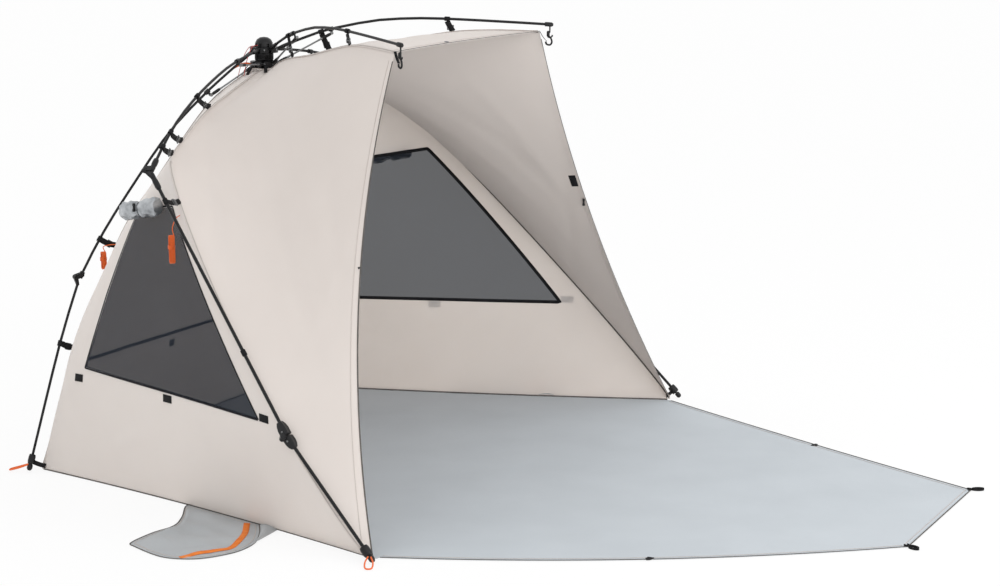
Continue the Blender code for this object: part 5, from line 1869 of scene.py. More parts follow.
@dataclass
class PoleStraps:
    """The webbing straps that hang the canopy from the poles.

    Args:
        straps: pole, its share, seam, its share.
        buckle_reach: straps longer than this have a buckle.
        buckle_size: size of the buckle against its model.
        tie_ends: distance from the hub axis and drop below the pole pins, at both ends of a tie.
        snap_top: place of a snap hook's top, ahead of the awning tip and below it.
        snap_route: drop and reach of the hook's places from its top.
        snap_strap: drop and reach of its strap's top, and the strap's sag, width and thickness.
        boots: radius of the boot on each foot.
        boot_span: distances of a boot's ends from the foot's end.
        foot_ends: share of each shin, and of the hem, that a foot strap joins.
        foot_lift: height of a foot strap on the hem, its drop on the shin, and its sag.
    """

    pattern: TentPattern
    canopy: Canopy
    fittings: Fittings
    width: float = 0.020
    thickness: float = 0.0016
    sewn_lift: float = 0.0016
    straps: tuple = (("front_arm", 0.568, "arm", 0.560), ("front_arm", 0.807, "arm", 0.880),
                     ("front_arm", 0.882, "arm", 0.985), ("rear_arm", 0.848, "rear", 0.497),
                     ("rear_shin", 0.347, "rear", 0.733), ("front_leg", 0.115, "leg", 0.128),
                     ("front_leg", 0.693, "leg", 0.510), ("awning_arm", 0.177, "ridge", 0.205),
                     ("awning_arm", 0.640, "ridge", 0.672))
    loop_radius: float = 0.0064
    loop_steps: int = 25
    sag: float = 0.06
    buckle_reach: float = 0.030
    buckle_share: float = 0.55
    buckle_lift: float = 0.002
    buckle_size: Triple = (1.35, 0.95, 1.2)
    tie_angles: tuple = (57.0, 100.0, 150.0, 210.0, 260.0, 303.0)
    tie_ends: tuple = ((0.049, 0.052), (0.098, 0.072))
    tie_bow: float = 0.006
    tie_width: float = 0.012
    snap_top: Pair = (0.012, 0.030)
    snap_barrel_drop: float = 0.004
    snap_route: tuple = ((0.010, 0.0), (0.020, 0.010), (0.034, 0.013), (0.043, 0.006), (0.041, -0.006),
                         (0.032, -0.009))
    snap_radius: float = 0.0034
    snap_strap: tuple = (0.030, -0.006, 0.004, 0.010, 0.0014)
    boots: tuple = (("front", 0.0150), ("rear", 0.0120))
    boot_span: Pair = (0.034, 0.002)
    foot_ends: tuple = (("front", 0.955, 0.010), ("rear", 0.975, 0.988))
    foot_lift: Triple = (0.012, 0.006, 0.002)
    foot_width: float = 0.016

    def build(self) -> None:
        """Make every strap on both sides, then the snap hooks and the straps at the feet."""
        self.hub_ties()
        for side in Side:
            poles = {pole.name.lower() + "_arm": self.pattern.pole_line(side, pole) for pole in Pole}
            poles.update(self.pattern.lower_lines(side))
            for number, (pole, share, seam, spot) in enumerate(self.straps):
                self.strap(f"{pole}_{number}_{side.label}", poles[pole], share,
                           self.pattern.seams(side)[seam].at(spot), f"{pole}_{side.label}")
            self.tip_hook(side)
            self.foot_straps(side)

    def on_canopy(self, place: Array) -> tuple[Array, Array]:
        """Return where a strap is sewn on near a place, and the canopy's facing there."""
        seats, facings = self.canopy.skins["all"].seat(place[None])
        return seats[0] + facings[0] * self.sewn_lift, facings[0]

    def hub_ties(self) -> None:
        """Tie the canopy to the lower hub between the poles."""
        for number, angle in enumerate(self.tie_angles):
            start, far = [self.pattern.polar(Side.RIGHT, angle, radius, self.pattern.pivot[1] - drop)
                          for radius, drop in self.tie_ends]
            end, _ = self.on_canopy(far)
            line = Line.bowed(start, end, UP * self.tie_bow).points[::4]
            lie = np.cross(unit(end - start), np.cross(UP, end - start))
            settle(ribbon(f"hub_tie_{number}", line, lie, self.tie_width, self.thickness), WEBBING)

    def strap(self, name: str, pole: Line, share: float, sewn: Array, body: str) -> None:
        """Make one strap: a loop round the pole, a band down to the canopy and a buckle.

        Args:
            name: name of this strap.
            pole: the pole's line.
            share: where on the pole it hangs.
            sewn: where on the canopy it is sewn.
            body: the pole's body.
        """
        along, hold = pole.along(share), pole.at(share)
        seat, facing = self.on_canopy(sewn)
        away = unit(seat - hold - along * ((seat - hold) @ along))
        turn = circle(self.loop_steps)
        ring = hold + self.loop_radius * (away * np.cos(turn) + np.cross(along, away) * np.sin(turn))
        loop = ribbon("strap_loop", ring, ring - hold, self.width, self.thickness)
        start = hold + away * (self.loop_radius + self.thickness)
        reach = float(np.linalg.norm(seat - start))
        line = Line.bowed(start, seat, -UP * (reach * self.sag)).points[::3]
        lie = np.cross(unit(seat - start), along)
        lie = lie if lie @ facing > 0 else -lie
        band = ribbon("strap_band", line, lie, self.width, self.thickness)
        settle(join("strap_" + name, [loop, band]), WEBBING, body)
        if reach > self.buckle_reach:
            middle = start + (seat - start) * self.buckle_share - UP * (reach * self.sag)
            place = stand(middle + lie * self.buckle_lift, lie, along)
            size = Matrix.Diagonal((*self.buckle_size, 1.0))
            self.fittings.put("buckle", "buckle_" + name, place @ size, BUCKLE, body)

    def tip_hook(self, side: Side) -> None:
        """Hang the canopy's front corner from the awning tip with a swivel snap hook.

        Args:
            side: the tip's side.
        """
        tip = self.pattern.pole_line(side, Pole.AWNING)
        along = tip.along(1.0)
        top = tip.points[-1] + along * self.snap_top[0] - UP * self.snap_top[1]
        body = "awning_arm_" + side.label
        barrel = stand(top - UP * self.snap_barrel_drop, UP)
        self.fittings.put("snap_barrel", "snap_barrel_" + side.label, barrel, PLASTIC, body)
        hook = Line.through([top - UP * drop + along * reach for drop, reach in self.snap_route]).points
        settle(tube("snap_hook_" + side.label, hook, self.snap_radius, sides=10), PLASTIC, body)
        drop, reach, sag, width, thickness = self.snap_strap
        seat = self.pattern.seams(side)["ridge"].points[-1] + UP * self.sewn_lift
        start = top - UP * drop + along * reach
        line = Line.bowed(start, seat, -UP * sag).points[::4]
        across = np.cross(unit(seat - start), np.cross(along, UP))
        settle(ribbon("snap_strap_" + side.label, line, across, width, thickness), WEBBING, body)

    def foot_straps(self, side: Side) -> None:
        """Fit a boot on each foot, and tie the canopy's lower corners to the feet.

        Args:
            side: the feet's side.
        """
        lines = self.pattern.lower_lines(side)
        hem = self.pattern.seams(side)["hem"]
        for name, radius in self.boots:
            line = lines[name + "_shin"]
            ends = [line.at(1 - gap / line.length) for gap in self.boot_span]
            size = Matrix.Diagonal((radius, radius, self.boot_span[0] - self.boot_span[1], 1.0))
            self.fittings.put("sleeve", f"foot_boot_{name}_{side.label}",
                              stand(Vector(sum(ends) / 2), ends[1] - ends[0]) @ size, PLASTIC,
                              f"{name}_shin_{side.label}")
        rise, drop, sag = self.foot_lift
        for name, share, spot in self.foot_ends:
            foot = lines[name + "_shin"].at(share)
            line = Line.bowed(hem.at(spot) + UP * rise, foot - UP * drop, -UP * sag).points[::4]
            away = unit(np.cross(unit(line[-1] - line[0]), UP))
            strap = ribbon(f"foot_strap_{name}_{side.label}", line, away, self.foot_width, self.thickness)
            settle(strap, WEBBING, f"{name}_shin_{side.label}")


@dataclass
class WindowRolls:
    """The window flaps, rolled up and tied above each window.

    Args:
        start: depth and height on plan of a roll's front end.
        lean: how far it leans in, to its run back.
        drop: how far it drops, to its run back.
        flat: its thickness against its height.
        end_taper: share of the length that its ends taper over, and share of the radius left there.
        pinches: depth, place and half width of each pinch.
        lap: height of the step where a layer ends, and the turn that it makes along the roll.
        waves: height of each wave, its count round and along the roll, and its start.
        pleats: height of each pleat, and its count round and along the roll.
        end_levels: share of the radius of each ring of the ends' spiral.
        end_sinks: how far deep and raised rings of the ends lie inwards.
        tie_size: radius of the tie against the roll's, its width and its thickness.
        toggle_lift: place of the tie's toggle, out from the tie and up.
    """

    canopy: Canopy
    fittings: Fittings
    start: Pair = (0.958, 0.962)
    standoff: float = 0.0235
    length: float = 0.176
    lean: float = 0.27
    drop: float = 0.20
    radius: float = 0.0285
    steps: tuple[int, int] = (61, 65)
    flat: float = 0.86
    end_taper: Pair = (0.06, 0.80)
    pinches: tuple = ((0.34, 0.52, 0.07), (0.08, 0.86, 0.05))
    lap: Pair = (0.06, 0.25)
    waves: tuple = ((0.060, 4, 17, 0.0), (0.045, 7, -29, 1.0))
    pleats: tuple = ((0.035, 3, 44), (0.025, 11, 38))
    end_levels: tuple = (0.82, 0.62, 0.44, 0.26, 0.10, 0.0)
    end_sinks: Pair = (0.004, 0.0008)
    tie_share: float = 0.52
    tie_size: Triple = (0.80, 0.007, 0.0012)
    tie_steps: int = 33
    toggle_lift: Pair = (0.006, 0.002)

    def build(self) -> None:
        """Make the roll, its tie and its toggle on both sides."""
        for side in Side:
            seats, facings = self.canopy.on_wall(side, [self.start])
            first = seats[0] + facings[0] * self.standoff
            along = unit(np.array((-side.value * self.lean, 1.0, -self.drop)))
            outward = unit(facings[0] - along * (facings[0] @ along))
            self.roll(side, first, along, outward)
            self.tie(side, first + along * (self.tie_share * self.length), along, outward)

    def roll(self, side: Side, first: Array, along: Array, outward: Array) -> None:
        """Make a roll of two lobes, pinched by its tie, with a spiral at each end.

        Args:
            side: its side.
            first: its front end.
            along: the way it runs.
            outward: the way away from the wall, square to that.
        """
        share, turn = round_grid(*self.steps)
        taper, left = self.end_taper
        ends = np.minimum(share, 1 - share) / taper
        pinch = 1 - sum(depth * np.exp(-((share - place) / half) ** 2) for depth, place, half in self.pinches)
        swell = self.radius * pinch * (left + (1 - left) * soft_step(ends))
        step, twist = self.lap
        layers = step * ((turn / FULL_TURN + twist * share) % 1.0) - step / 2
        crumple = 0.0
        for high, around, run, start in self.waves:
            crumple = crumple + high * np.sin(turn * around + share * run + start)
        for high, around, run in self.pleats:
            crumple = crumple + high * np.abs(np.sin(turn * around + share * run))
        radius = swell * (1 + layers + crumple)
        upward = np.cross(along, outward)
        places = (first + along * (share * self.length)[..., None]
                  + outward * (radius * np.cos(turn) * self.flat)[..., None]
                  + upward * (radius * np.sin(turn))[..., None])
        name = "window_roll_cloth_" + side.label
        shells = [grid(name, places, np.stack((turn * self.radius, share * self.length), axis=-1))]
        for row, way in ((places[0], along), (places[-1], -along)):
            middle = row.mean(axis=0)
            rings = [row]
            for number, level in enumerate(self.end_levels):
                rings.append(middle + (row - middle) * level + way * self.end_sinks[number % 2])
            cap = np.array(rings)
            shells.append(grid("roll_end", cap, cap[..., 1:]))
        roll = close_shell(join(name, shells), WELD_GAP)
        settle(roll, SILVER, gathers=True, stands_for=["window_roll_" + side.label])

    def tie(self, side: Side, middle: Array, along: Array, outward: Array) -> None:
        """Make the tie round a roll, with its toggle.

        Args:
            side: the roll's side.
            middle: the tie's middle.
            along: the way the roll runs.
            outward: the way away from the wall, square to that.
        """
        upward = np.cross(along, outward)
        tight, width, thickness = self.tie_size
        turn = circle(self.tie_steps)
        ring = middle + self.radius * tight * (outward * np.cos(turn) * self.flat + upward * np.sin(turn))
        sew(ribbon(f"roll_tie_{side.label}_0", ring, ring - middle, width, thickness), SILVER)
        out, lift = self.toggle_lift
        place = middle + outward * (self.radius * tight * self.flat + out) + upward * lift
        self.fittings.put("toggle", f"roll_toggle_{side.label}_0", stand(place, upward, along), PLASTIC,
                          gathers=True)


@dataclass
class Groundsheet:
    """The floor, the porch and the sand pockets.

    Outlines are (distance out from the front corner, depth) on plan, and bands a width and a thickness.
    Each back is a plan place below the sheet that faces away from it.

    Args:
        porch_bulge: how far the left and right edge bow outwards.
        porch_gaps: share of an edge left free at each end, by the piping and by the stitches.
        pocket_crown: height of the filling, the share of the way in where it is full, and its dip.
        pocket_crumple: height of the crumples, and the share of the way in where they are full.
        pocket_welt: depth, place and half width of the stitched groove round the rim.
        pocket_stitch: share of the rim's size where the stitches run, and their width.
    """

    pattern: TentPattern
    cloth: float = 0.0016
    cell: float = 0.022
    ripple: float = 0.0012
    hold: float = 0.12
    slack: float = 0.3
    inset: float = 0.010
    overlap: float = 0.003
    floor_level: float = 0.0018
    floor_back: Triple = (0.0, 0.5, -1.0)
    joint_start: float = 0.01
    joint_lift: float = 0.003
    joint_radius: float = 0.0026
    porch_depth: float = 1.400
    porch_tip: float = 0.737
    porch_bulge: Pair = (0.078, -0.012)
    porch_corner: float = 0.024
    porch_start: float = -0.0003
    porch_level: float = 0.0024
    porch_back: Triple = (0.0, -0.7, -1.0)
    porch_middle: float = -0.6
    porch_gaps: Pair = (0.005, 0.01)
    porch_piping: Pair = (0.0045, 0.0012)
    stitch_inset: float = 0.016
    stitch_width: float = 0.0020
    tab_shares: Pair = (0.50, 0.53)
    tab_span: Pair = (-0.020, 0.016)
    tab_band: Pair = (0.022, 0.0014)
    tab_steps: int = 7
    loop_gap: float = 0.25
    loop_steps: int = 33
    loop_reach: Pair = (0.021, 0.012)
    loop_tails: Pair = (0.012, 0.004)
    loop_half: float = 0.006
    loop_height: float = 0.0050
    loop_band: Pair = (0.008, 0.0016)
    floor_creases: tuple = (
        Crease((0.02, 0.10), (0.98, 0.04), 0.006, 0.030), Crease((0.10, 0.35), (0.85, 0.20), 0.006, 0.026),
        Crease((0.15, 0.75), (0.90, 0.50), 0.005, 0.026), Crease((0.45, 0.05), (0.60, 0.90), 0.005, 0.026),
        Crease((0.25, 0.10), (0.20, 0.80), 0.005, 0.024), Crease((0.80, 0.10), (0.78, 0.85), 0.005, 0.024))
    porch_creases: tuple = (
        Crease((0.05, 0.10), (0.95, 0.06), 0.004, 0.028), Crease((0.20, 0.15), (0.45, 0.90), 0.004, 0.026),
        Crease((0.80, 0.12), (0.60, 0.92), 0.004, 0.026), Crease((0.10, 0.60), (0.90, 0.45), 0.0035, 0.024))
    pocket_outline: tuple = (
        (-0.145, 0.777), (-0.046, 0.742), (0.051, 0.757), (0.171, 0.754), (0.202, 0.718), (0.252, 0.603),
        (0.253, 0.535), (0.225, 0.475), (0.169, 0.433), (0.098, 0.407), (0.005, 0.412), (-0.100, 0.460))
    pocket_span: Pair = (0.33, 0.545)
    pocket_steps: tuple[int, int] = (121, 26)
    pocket_level: float = 0.0022
    pocket_crown: Triple = (0.0075, 0.30, 0.35)
    pocket_crumple: Pair = (0.0020, 0.25)
    pocket_waves: tuple = (((37.0, 21.0, 0.0), 0.0, 1.0), ((-23.0, 45.0, 0.0), 1.0, 1.0),
                           ((71.0, -33.0, 0.0), 2.0, 0.7))
    pocket_welt: Triple = (0.0016, 0.10, 0.03)
    pocket_stitch: Pair = (0.93, 0.0022)
    pocket_piping: Pair = (0.0040, 0.0012)
    stripe: tuple = ((-0.160, 0.543), (-0.035, 0.476), (0.080, 0.447), (0.165, 0.480), (0.238, 0.532))
    stripe_height: float = 0.012
    stripe_band: Pair = (0.020, 0.0010)
    fold_steps: tuple[int, int] = (25, 13)
    fold_foot: float = 0.055
    fold_reach: float = 0.98
    fold_level: float = 0.0024
    fold_height: float = 0.010
    fold_power: float = 0.7

    def build(self) -> None:
        """Make the floor, the porch and both pockets."""
        self.floor()
        self.porch()
        for side in Side:
            self.pocket(side)

    def lay(self, name: str, edges: Sequence[Line], creases: tuple, back: Triple) -> ClothSheet:
        """Return a sheet of ground cloth between two side edges, facing away from a place below it."""
        surface = between_edges(*edges)
        return ClothSheet(name, surface, creases, self.cell, self.ripple, self.hold, back, self.slack)

    @staticmethod
    def lift(piece: Piece, height: float) -> Piece:
        """Keep an open ground sheet from dipping below a height.

        Args:
            piece: the open sheet.
            height: the height.

        Returns:
            The same sheet.
        """
        for vertex in piece.data.vertices:
            vertex.co.z = max(vertex.co.z, height)
        return piece

    def floor(self) -> None:
        """Make the floor inside the walls, and the joint round it."""
        edges = []
        for side in Side:
            hem = self.pattern.seams(side)["hem"].points.copy()
            hem[:, 0] -= side.value * self.inset
            hem[:, 2] = self.cloth
            hem[0, 1] = FRONT_Y - self.overlap
            edges.append(Line(hem))
        sheet = self.lay("floor_cloth", edges, self.floor_creases, self.floor_back)
        piece = thicken(self.lift(sheet.build(), self.floor_level), self.cloth)
        settle(piece, INNER_FLOOR, gathers=True, stands_for=["floor_sheet"])
        declare_sheet(piece, sheet.size())
        around = np.vstack((edges[0].part(self.joint_start, 1.0), edges[1].part(1.0, self.joint_start)))
        sew(tube("floor_joint", around + UP * self.joint_lift, self.joint_radius, sides=6), PIPING)

    def porch_edge(self, side: Side) -> Line:
        """Return one side edge of the porch, from the floor line out.

        Args:
            side: the side.

        Returns:
            The edge.
        """
        start = plan(side.value * (self.pattern.half_front - self.porch_corner), self.porch_start, self.cloth)
        end = plan(side.value * self.porch_tip / 2, -self.porch_depth, self.cloth)
        out = np.cross(unit(end - start), UP)
        out = out if out[0] * side.value > 0 else -out
        return Line.bowed(start, end, out * self.porch_bulge[0 if side is Side.LEFT else 1])

    def porch(self) -> None:
        """Make the porch sheet, its edge piping and stitches, its corner loops and its tabs."""
        left, right = self.porch_edge(Side.LEFT), self.porch_edge(Side.RIGHT)
        sheet = self.lay("porch_cloth", (left, right), self.porch_creases, self.porch_back)
        piece = self.lift(sheet.build(), self.porch_level)
        skin = Skin(piece)
        thicken(piece, self.cloth)
        settle(piece, INNER_FLOOR, "porch", True, ["porch_sheet"])
        declare_sheet(piece, sheet.size())
        tip = Line.straight(left.points[-1], right.points[-1])
        for name, line in (("left", left), ("right", right), ("tip", tip)):
            rim, inner = [line.part(gap, 1 - gap) for gap in self.porch_gaps]
            sew(skin.tape("porch_piping_" + name, rim, *self.porch_piping), PIPING, "porch")
            shift = unit(np.cross(UP, line.at(1.0) - line.at(0.0))) * self.stitch_inset
            inward = plan(0.0, self.porch_middle, 0.0) - inner[len(inner) // 2]
            shift = shift if shift @ inward > 0 else -shift
            sew(skin.tape("porch_stitch_" + name, inner + shift, self.stitch_width), STITCH, "porch")
        for side in Side:
            self.corner_loop(side)
        for number, (edge, share) in enumerate(zip((left, right), self.tab_shares)):
            out = unit(edge.at(share) * (1.0, 0.0, 0.0))
            line = edge.at(share) + out * np.linspace(*self.tab_span, self.tab_steps)[:, None]
            sew(skin.tape(f"porch_tab_{number}", line, *self.tab_band), WEBBING, "porch")

    def corner_loop(self, side: Side) -> None:
        """Make the webbing loop at an outer corner of the porch.

        Args:
            side: the corner's side.
        """
        low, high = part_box("porch_loop_" + side.label)
        centre = np.array((low + high) / 2)
        corner = self.porch_edge(side).points[-1]
        away = unit((centre - corner) * (1.0, 1.0, 0.0))
        square = np.cross(away, UP)
        turn = np.linspace(self.loop_gap, FULL_TURN - self.loop_gap, self.loop_steps)[:, None] + math.pi
        long, wide = self.loop_reach
        ring = centre + away * np.cos(turn) * long + square * np.sin(turn) * wide
        tails = [corner - away * back + square * self.loop_half for back in self.loop_tails]
        ends = [corner - away * back - square * self.loop_half for back in self.loop_tails[::-1]]
        line = Line.through([*tails, *ring[::4], *ends], per_span=4).points
        line[:, 2] = self.loop_height
        facing = np.cross(unit(np.gradient(line, axis=0)), UP)
        loop = ribbon("porch_loop_webbing_" + side.label, line, facing, *self.loop_band)
        settle(loop, WEBBING, "porch", True, ["porch_loop_" + side.label])

    def outside(self, side: Side, outline: Sequence[Pair], height: float) -> list[Array]:
        """Return places of an outline beside the wall."""
        return [plan(side.value * (self.pattern.half_front + out), depth, height) for out, depth in outline]

    def pocket(self, side: Side) -> None:
        """Make a sand pocket that lies beside the wall, with its stitched rim and its stripe.

        Args:
            side: the wall's side.
        """
        hem = self.pattern.seams(side)["hem"]
        inner = [hem.at(share) for share in np.linspace(*self.pocket_span, 4)]
        outer = self.outside(side, self.pocket_outline, 0.0)
        around, inwards = self.pocket_steps
        rim = Line.through([*inner, *outer, inner[0]], per_span=6).at(np.linspace(0.0, 1.0, around))
        rim[:, 2] = self.pocket_level
        middle = rim[:-1].mean(axis=0)
        share = np.linspace(1.0, 0.0, inwards)[:, None, None]
        places = middle + (rim - middle)[None] * share
        edge = 1 - share[..., 0]
        high, rise, fall = self.pocket_crown
        crown = high * soft_step(edge / rise) * (1 - fall * edge)
        height, settled = self.pocket_crumple
        crumple = height * waves(places, self.pocket_waves) * soft_step(edge / settled)
        deep, place, half = self.pocket_welt
        welt = deep * np.exp(-((edge - place) / half) ** 2)
        places[..., 2] = self.pocket_level + crown + crumple - welt
        pocket = grid("sand_pocket_cloth_" + side.label, places, places[..., :2])
        shell = bmesh.new()
        shell.from_mesh(pocket.data)
        bmesh.ops.remove_doubles(shell, verts=shell.verts, dist=WELD_GAP)
        if sum(face.normal.z for face in shell.faces) < 0:
            bmesh.ops.reverse_faces(shell, faces=shell.faces)
        shell.to_mesh(pocket.data)
        shell.free()
        skin = Skin(pocket)
        thicken(pocket, self.cloth)
        settle(pocket, POCKET, gathers=True, stands_for=["sand_pocket_" + side.label])
        size = (float(np.ptp(rim[:, 0])), float(np.ptp(rim[:, 1])))
        declare_sheet(pocket, size)
        shrink, width = self.pocket_stitch
        sew(skin.tape("pocket_stitch_" + side.label, middle + (rim - middle) * shrink, width), STITCH)
        sew(skin.tape("pocket_piping_" + side.label, rim, *self.pocket_piping), PIPING)
        line = Line.through(self.outside(side, self.stripe, self.stripe_height)).part(0.0, 1.0, step=0.008)
        sew(skin.tape("pocket_stripe_" + side.label, line, *self.stripe_band), STRIPE)
        self.pocket_fold(side, Line.through([inner[0], *outer[:-4:-1]]),
                         hem.at(self.pocket_span[0] - self.fold_foot))

    def pocket_fold(self, side: Side, rim: Line, foot: Array) -> None:
        """Make the folded cloth between a pocket's front rim and the wall.

        Args:
            side: the wall's side.
            rim: the pocket's rim from the wall out.
            foot: where the fold meets the wall's hem.
        """
        out, back = self.fold_steps
        share, across = np.meshgrid(np.linspace(0.0, 1.0, out), np.linspace(0.0, self.fold_reach, back),
                                    indexing="ij")
        edge = foot + (rim.points[-1] - foot) * share[..., None]
        places = rim.at(share) * (1 - across[..., None]) + edge * across[..., None]
        rise = np.sin(math.pi * across) * (1 - share) ** self.fold_power
        places[..., 2] = self.fold_level + self.fold_height * rise
        fold = grid("sand_pocket_fold_" + side.label, places, places[..., :2])
        if fold.data.polygons[0].normal.z < 0:
            fold.data.flip_normals()
        sew(thicken(fold, self.cloth), POCKET)
        declare_sheet(fold, (float(np.linalg.norm(foot - rim.points[0])), rim.length))


@dataclass
class Cords:
    """The guy lines wound into hanks, the pull cords, the rope end and the stake loops.

    Args:
        guy_front: distance out and down from the wall of places on the front guy line's lead.
        guy_rear: share of the way to the rear pole's hook of places on the rear lead, and their rise.
        hank_half_widths: half the width of a hank at its top and bottom.
        pull_routes: name, places by (angle, distance from the hub axis, height over the pole pins), and node.
        rope_route: distance from the hub axis and height of the rope's places.
        stake_half: distance out, across and down from the foot of places on half a stake loop.
        front_ways: the way out of the left and right front loop.
    """

    pattern: TentPattern
    canopy: Canopy
    guy_radius: float = 0.0015
    guy_spots: tuple = ((0.850, 0.950), (1.372, 0.765))
    guy_seat: float = 0.0012
    guy_front: tuple = ((0.016, 0.010), (0.028, 0.040), (0.032, 0.062))
    guy_hook: Pair = (0.634, 0.750)
    guy_rear: tuple = ((0.6, 0.006), (1.0, 0.004), (1.0, -0.012))
    hank_runs: Pair = (0.090, 0.060)
    guy_lengths: Pair = (1.00, 0.71)
    loops: int = 5
    loop_pitch: float = 0.0031
    loop_points: int = 48
    hank_half_widths: Pair = (0.0040, 0.0075)
    hank_steps: tuple[int, int] = (13, 9)
    tie_share: float = 0.42
    tie_turns: float = 3.4
    tie_steps: int = 90
    tie_gap: float = 2.2
    tie_pitch: float = 2.3
    pull_radius: float = 0.0012
    pull_routes: tuple = (
        ("pull_cord_first", ((100.0, 0.0327, 0.016), (100.0, 0.060, 0.012), (100.0, 0.085, -0.020),
                             (101.0, 0.098, -0.060), (102.0, 0.104, -0.088)), ("pull_cord",)),
        ("pull_cord_second", ((124.0, 0.0327, 0.013), (124.0, 0.058, 0.008), (124.0, 0.082, -0.030),
                              (126.0, 0.098, -0.085), (127.0, 0.108, -0.132)), ()))
    rope_angle: float = 148.0
    rope_route: tuple = ((0.046, 1.356), (0.066, 1.358), (0.090, 1.352), (0.112, 1.341))
    rope_shares: Triple = (0.0, 0.9, 1.0)
    rope_radii: Triple = (0.0040, 0.0044, 0.0038)
    rope_diameter: float = 0.0086
    stake_radius: float = 0.0026
    stake_start: float = 0.006
    stake_half: tuple = ((0.0, 0.004, 0.0), (0.031, 0.012, 0.010), (0.062, 0.009, 0.018))
    stake_level: float = 0.0032
    front_ways: tuple = ((-0.9, -0.44, 0.0), (0.4, 0.9, 0.0))
    rear_way: Triple = (0.44, 0.9, 0.0)

    def build(self) -> None:
        """Make every cord."""
        side = Side.LEFT
        seats, facings = self.canopy.on_wall(side, self.guy_spots)
        starts = seats + facings * self.guy_seat
        level = unit(facings[0] * (1.0, 1.0, 0.0))
        lead = [starts[0], *(seats[0] + level * out - UP * drop for out, drop in self.guy_front)]
        self.guy("guy_line_front", lead, np.cross(UP, level), level, self.hank_runs[0])
        ends = [self.pattern.polar(side, Pole.REAR.value, radius, 0.0) for radius in (0.0, 1.0)]
        away = ends[1] - ends[0]
        hook = self.pattern.polar(side, Pole.REAR.value, *self.guy_hook)
        lead = [starts[1]]
        for share, rise in self.guy_rear:
            lead.append(seats[1] * (1 - share) + hook * share + UP * rise)
        self.guy("guy_line_rear", lead, np.cross(UP, away), away, self.hank_runs[1])
        self.hub_cords()
        for each in Side:
            self.stake_loops(each)

    def guy(self, node: str, lead: list[Array], wide: Array, deep: Array, run: float) -> None:
        """Make a guy line: its lead, and the hank that it is wound into, held by a tie.

        Args:
            node: frame node that it replaces.
            lead: places from the canopy to the hank's top.
            wide: the way the hank is wide.
            deep: the way its loops lie behind each other.
            run: height of the hank.
        """
        top, bottom = self.hank_half_widths
        low = np.linspace(0.0, math.pi, self.hank_steps[0])[:, None]
        high = np.linspace(-math.pi, 0.0, self.hank_steps[1])[:, None]
        ends = [bottom * (wide * np.cos(low) - UP * np.sin(low)) - UP * (run - bottom),
                top * (wide * np.cos(high) - UP * np.sin(high)) - UP * top]
        loop = Line(np.vstack((ends[1][-1:], *ends)))
        cycles = np.arange(self.loops * self.loop_points + 1) / self.loop_points
        turn = np.floor(cycles)
        depth = (turn + soft_step((cycles - turn) * 2 - 1) - self.loops / 2) * self.loop_pitch
        hank = lead[-1] + loop.at(cycles - turn) + deep * depth[:, None]
        path = np.vstack((Line.through([*lead[:-1], hank[0]], per_span=8).points[:-1], hank))
        smooth = Line.through(path, per_span=2).points
        cord = tube(node + "_cord", smooth, self.guy_radius)
        middle = lead[-1] - UP * run * self.tie_share
        turns = np.linspace(0.0, self.tie_turns * FULL_TURN, self.tie_steps)[:, None]
        half_wide = top + (bottom - top) * self.tie_share + self.guy_radius * self.tie_gap
        half_deep = self.loops / 2 * self.loop_pitch + self.guy_radius * self.tie_gap
        climb = (turns / FULL_TURN - self.tie_turns / 2) * self.guy_radius * self.tie_pitch
        wrap = middle + wide * np.cos(turns) * half_wide + deep * np.sin(turns) * half_deep + UP * climb
        tie = tube(node + "_wrap", wrap, self.guy_radius)
        settle(cord, ORANGE, gathers=True, stands_for=[node])
        sew(tie, ORANGE)

    def hub_cords(self) -> None:
        """Make the two pull cords on the upper hub and the rope end on the lower one."""
        side, top = Side.LEFT, self.pattern.pivot[1]
        for name, route, stands_for in self.pull_routes:
            path = Line.through([self.pattern.polar(side, angle, radius, top + height)
                                 for angle, radius, height in route]).points
            cord = tube(name, path, self.pull_radius)
            settle(cord, RED, "hub_slider", stands_for=stands_for)
            Line(path).length
        places = [self.pattern.polar(side, self.rope_angle, *place) for place in self.rope_route]
        path = Line.through(places, per_span=12).points
        radii = np.interp(np.linspace(0, 1, len(path)), self.rope_shares, self.rope_radii)
        rope = tube("hub_rope", path, radii, sides=14)
        settle(rope, ORANGE)
        Line(path).length

    def stake_loops(self, side: Side) -> None:
        """Make the cord loop for a stake at each foot.

        Args:
            side: the feet's side.
        """
        lines = self.pattern.lower_lines(side)
        front_way = self.front_ways[0 if side is Side.LEFT else 1]
        rear_way = (side.value * self.rear_way[0], *self.rear_way[1:])
        for name, way in (("front_shin", front_way), ("rear_shin", rear_way)):
            out = unit(np.array(way))
            across = np.cross(out, UP)
            start = lines[name].points[-1] + out * self.stake_start
            near, far = [[start + out * reach + across * (half * hand) - UP * drop
                          for reach, half, drop in self.stake_half] for hand in (1.0, -1.0)]
            path = Line.through([*near, *far[::-1]]).points
            path[:, 2] = np.maximum(path[:, 2], self.stake_level)
            loop = tube(f"stake_loop_{name[:-5]}_{side.label}", path, self.stake_radius)
            settle(loop, ORANGE, f"{name}_{side.label}")
            Line(path).length


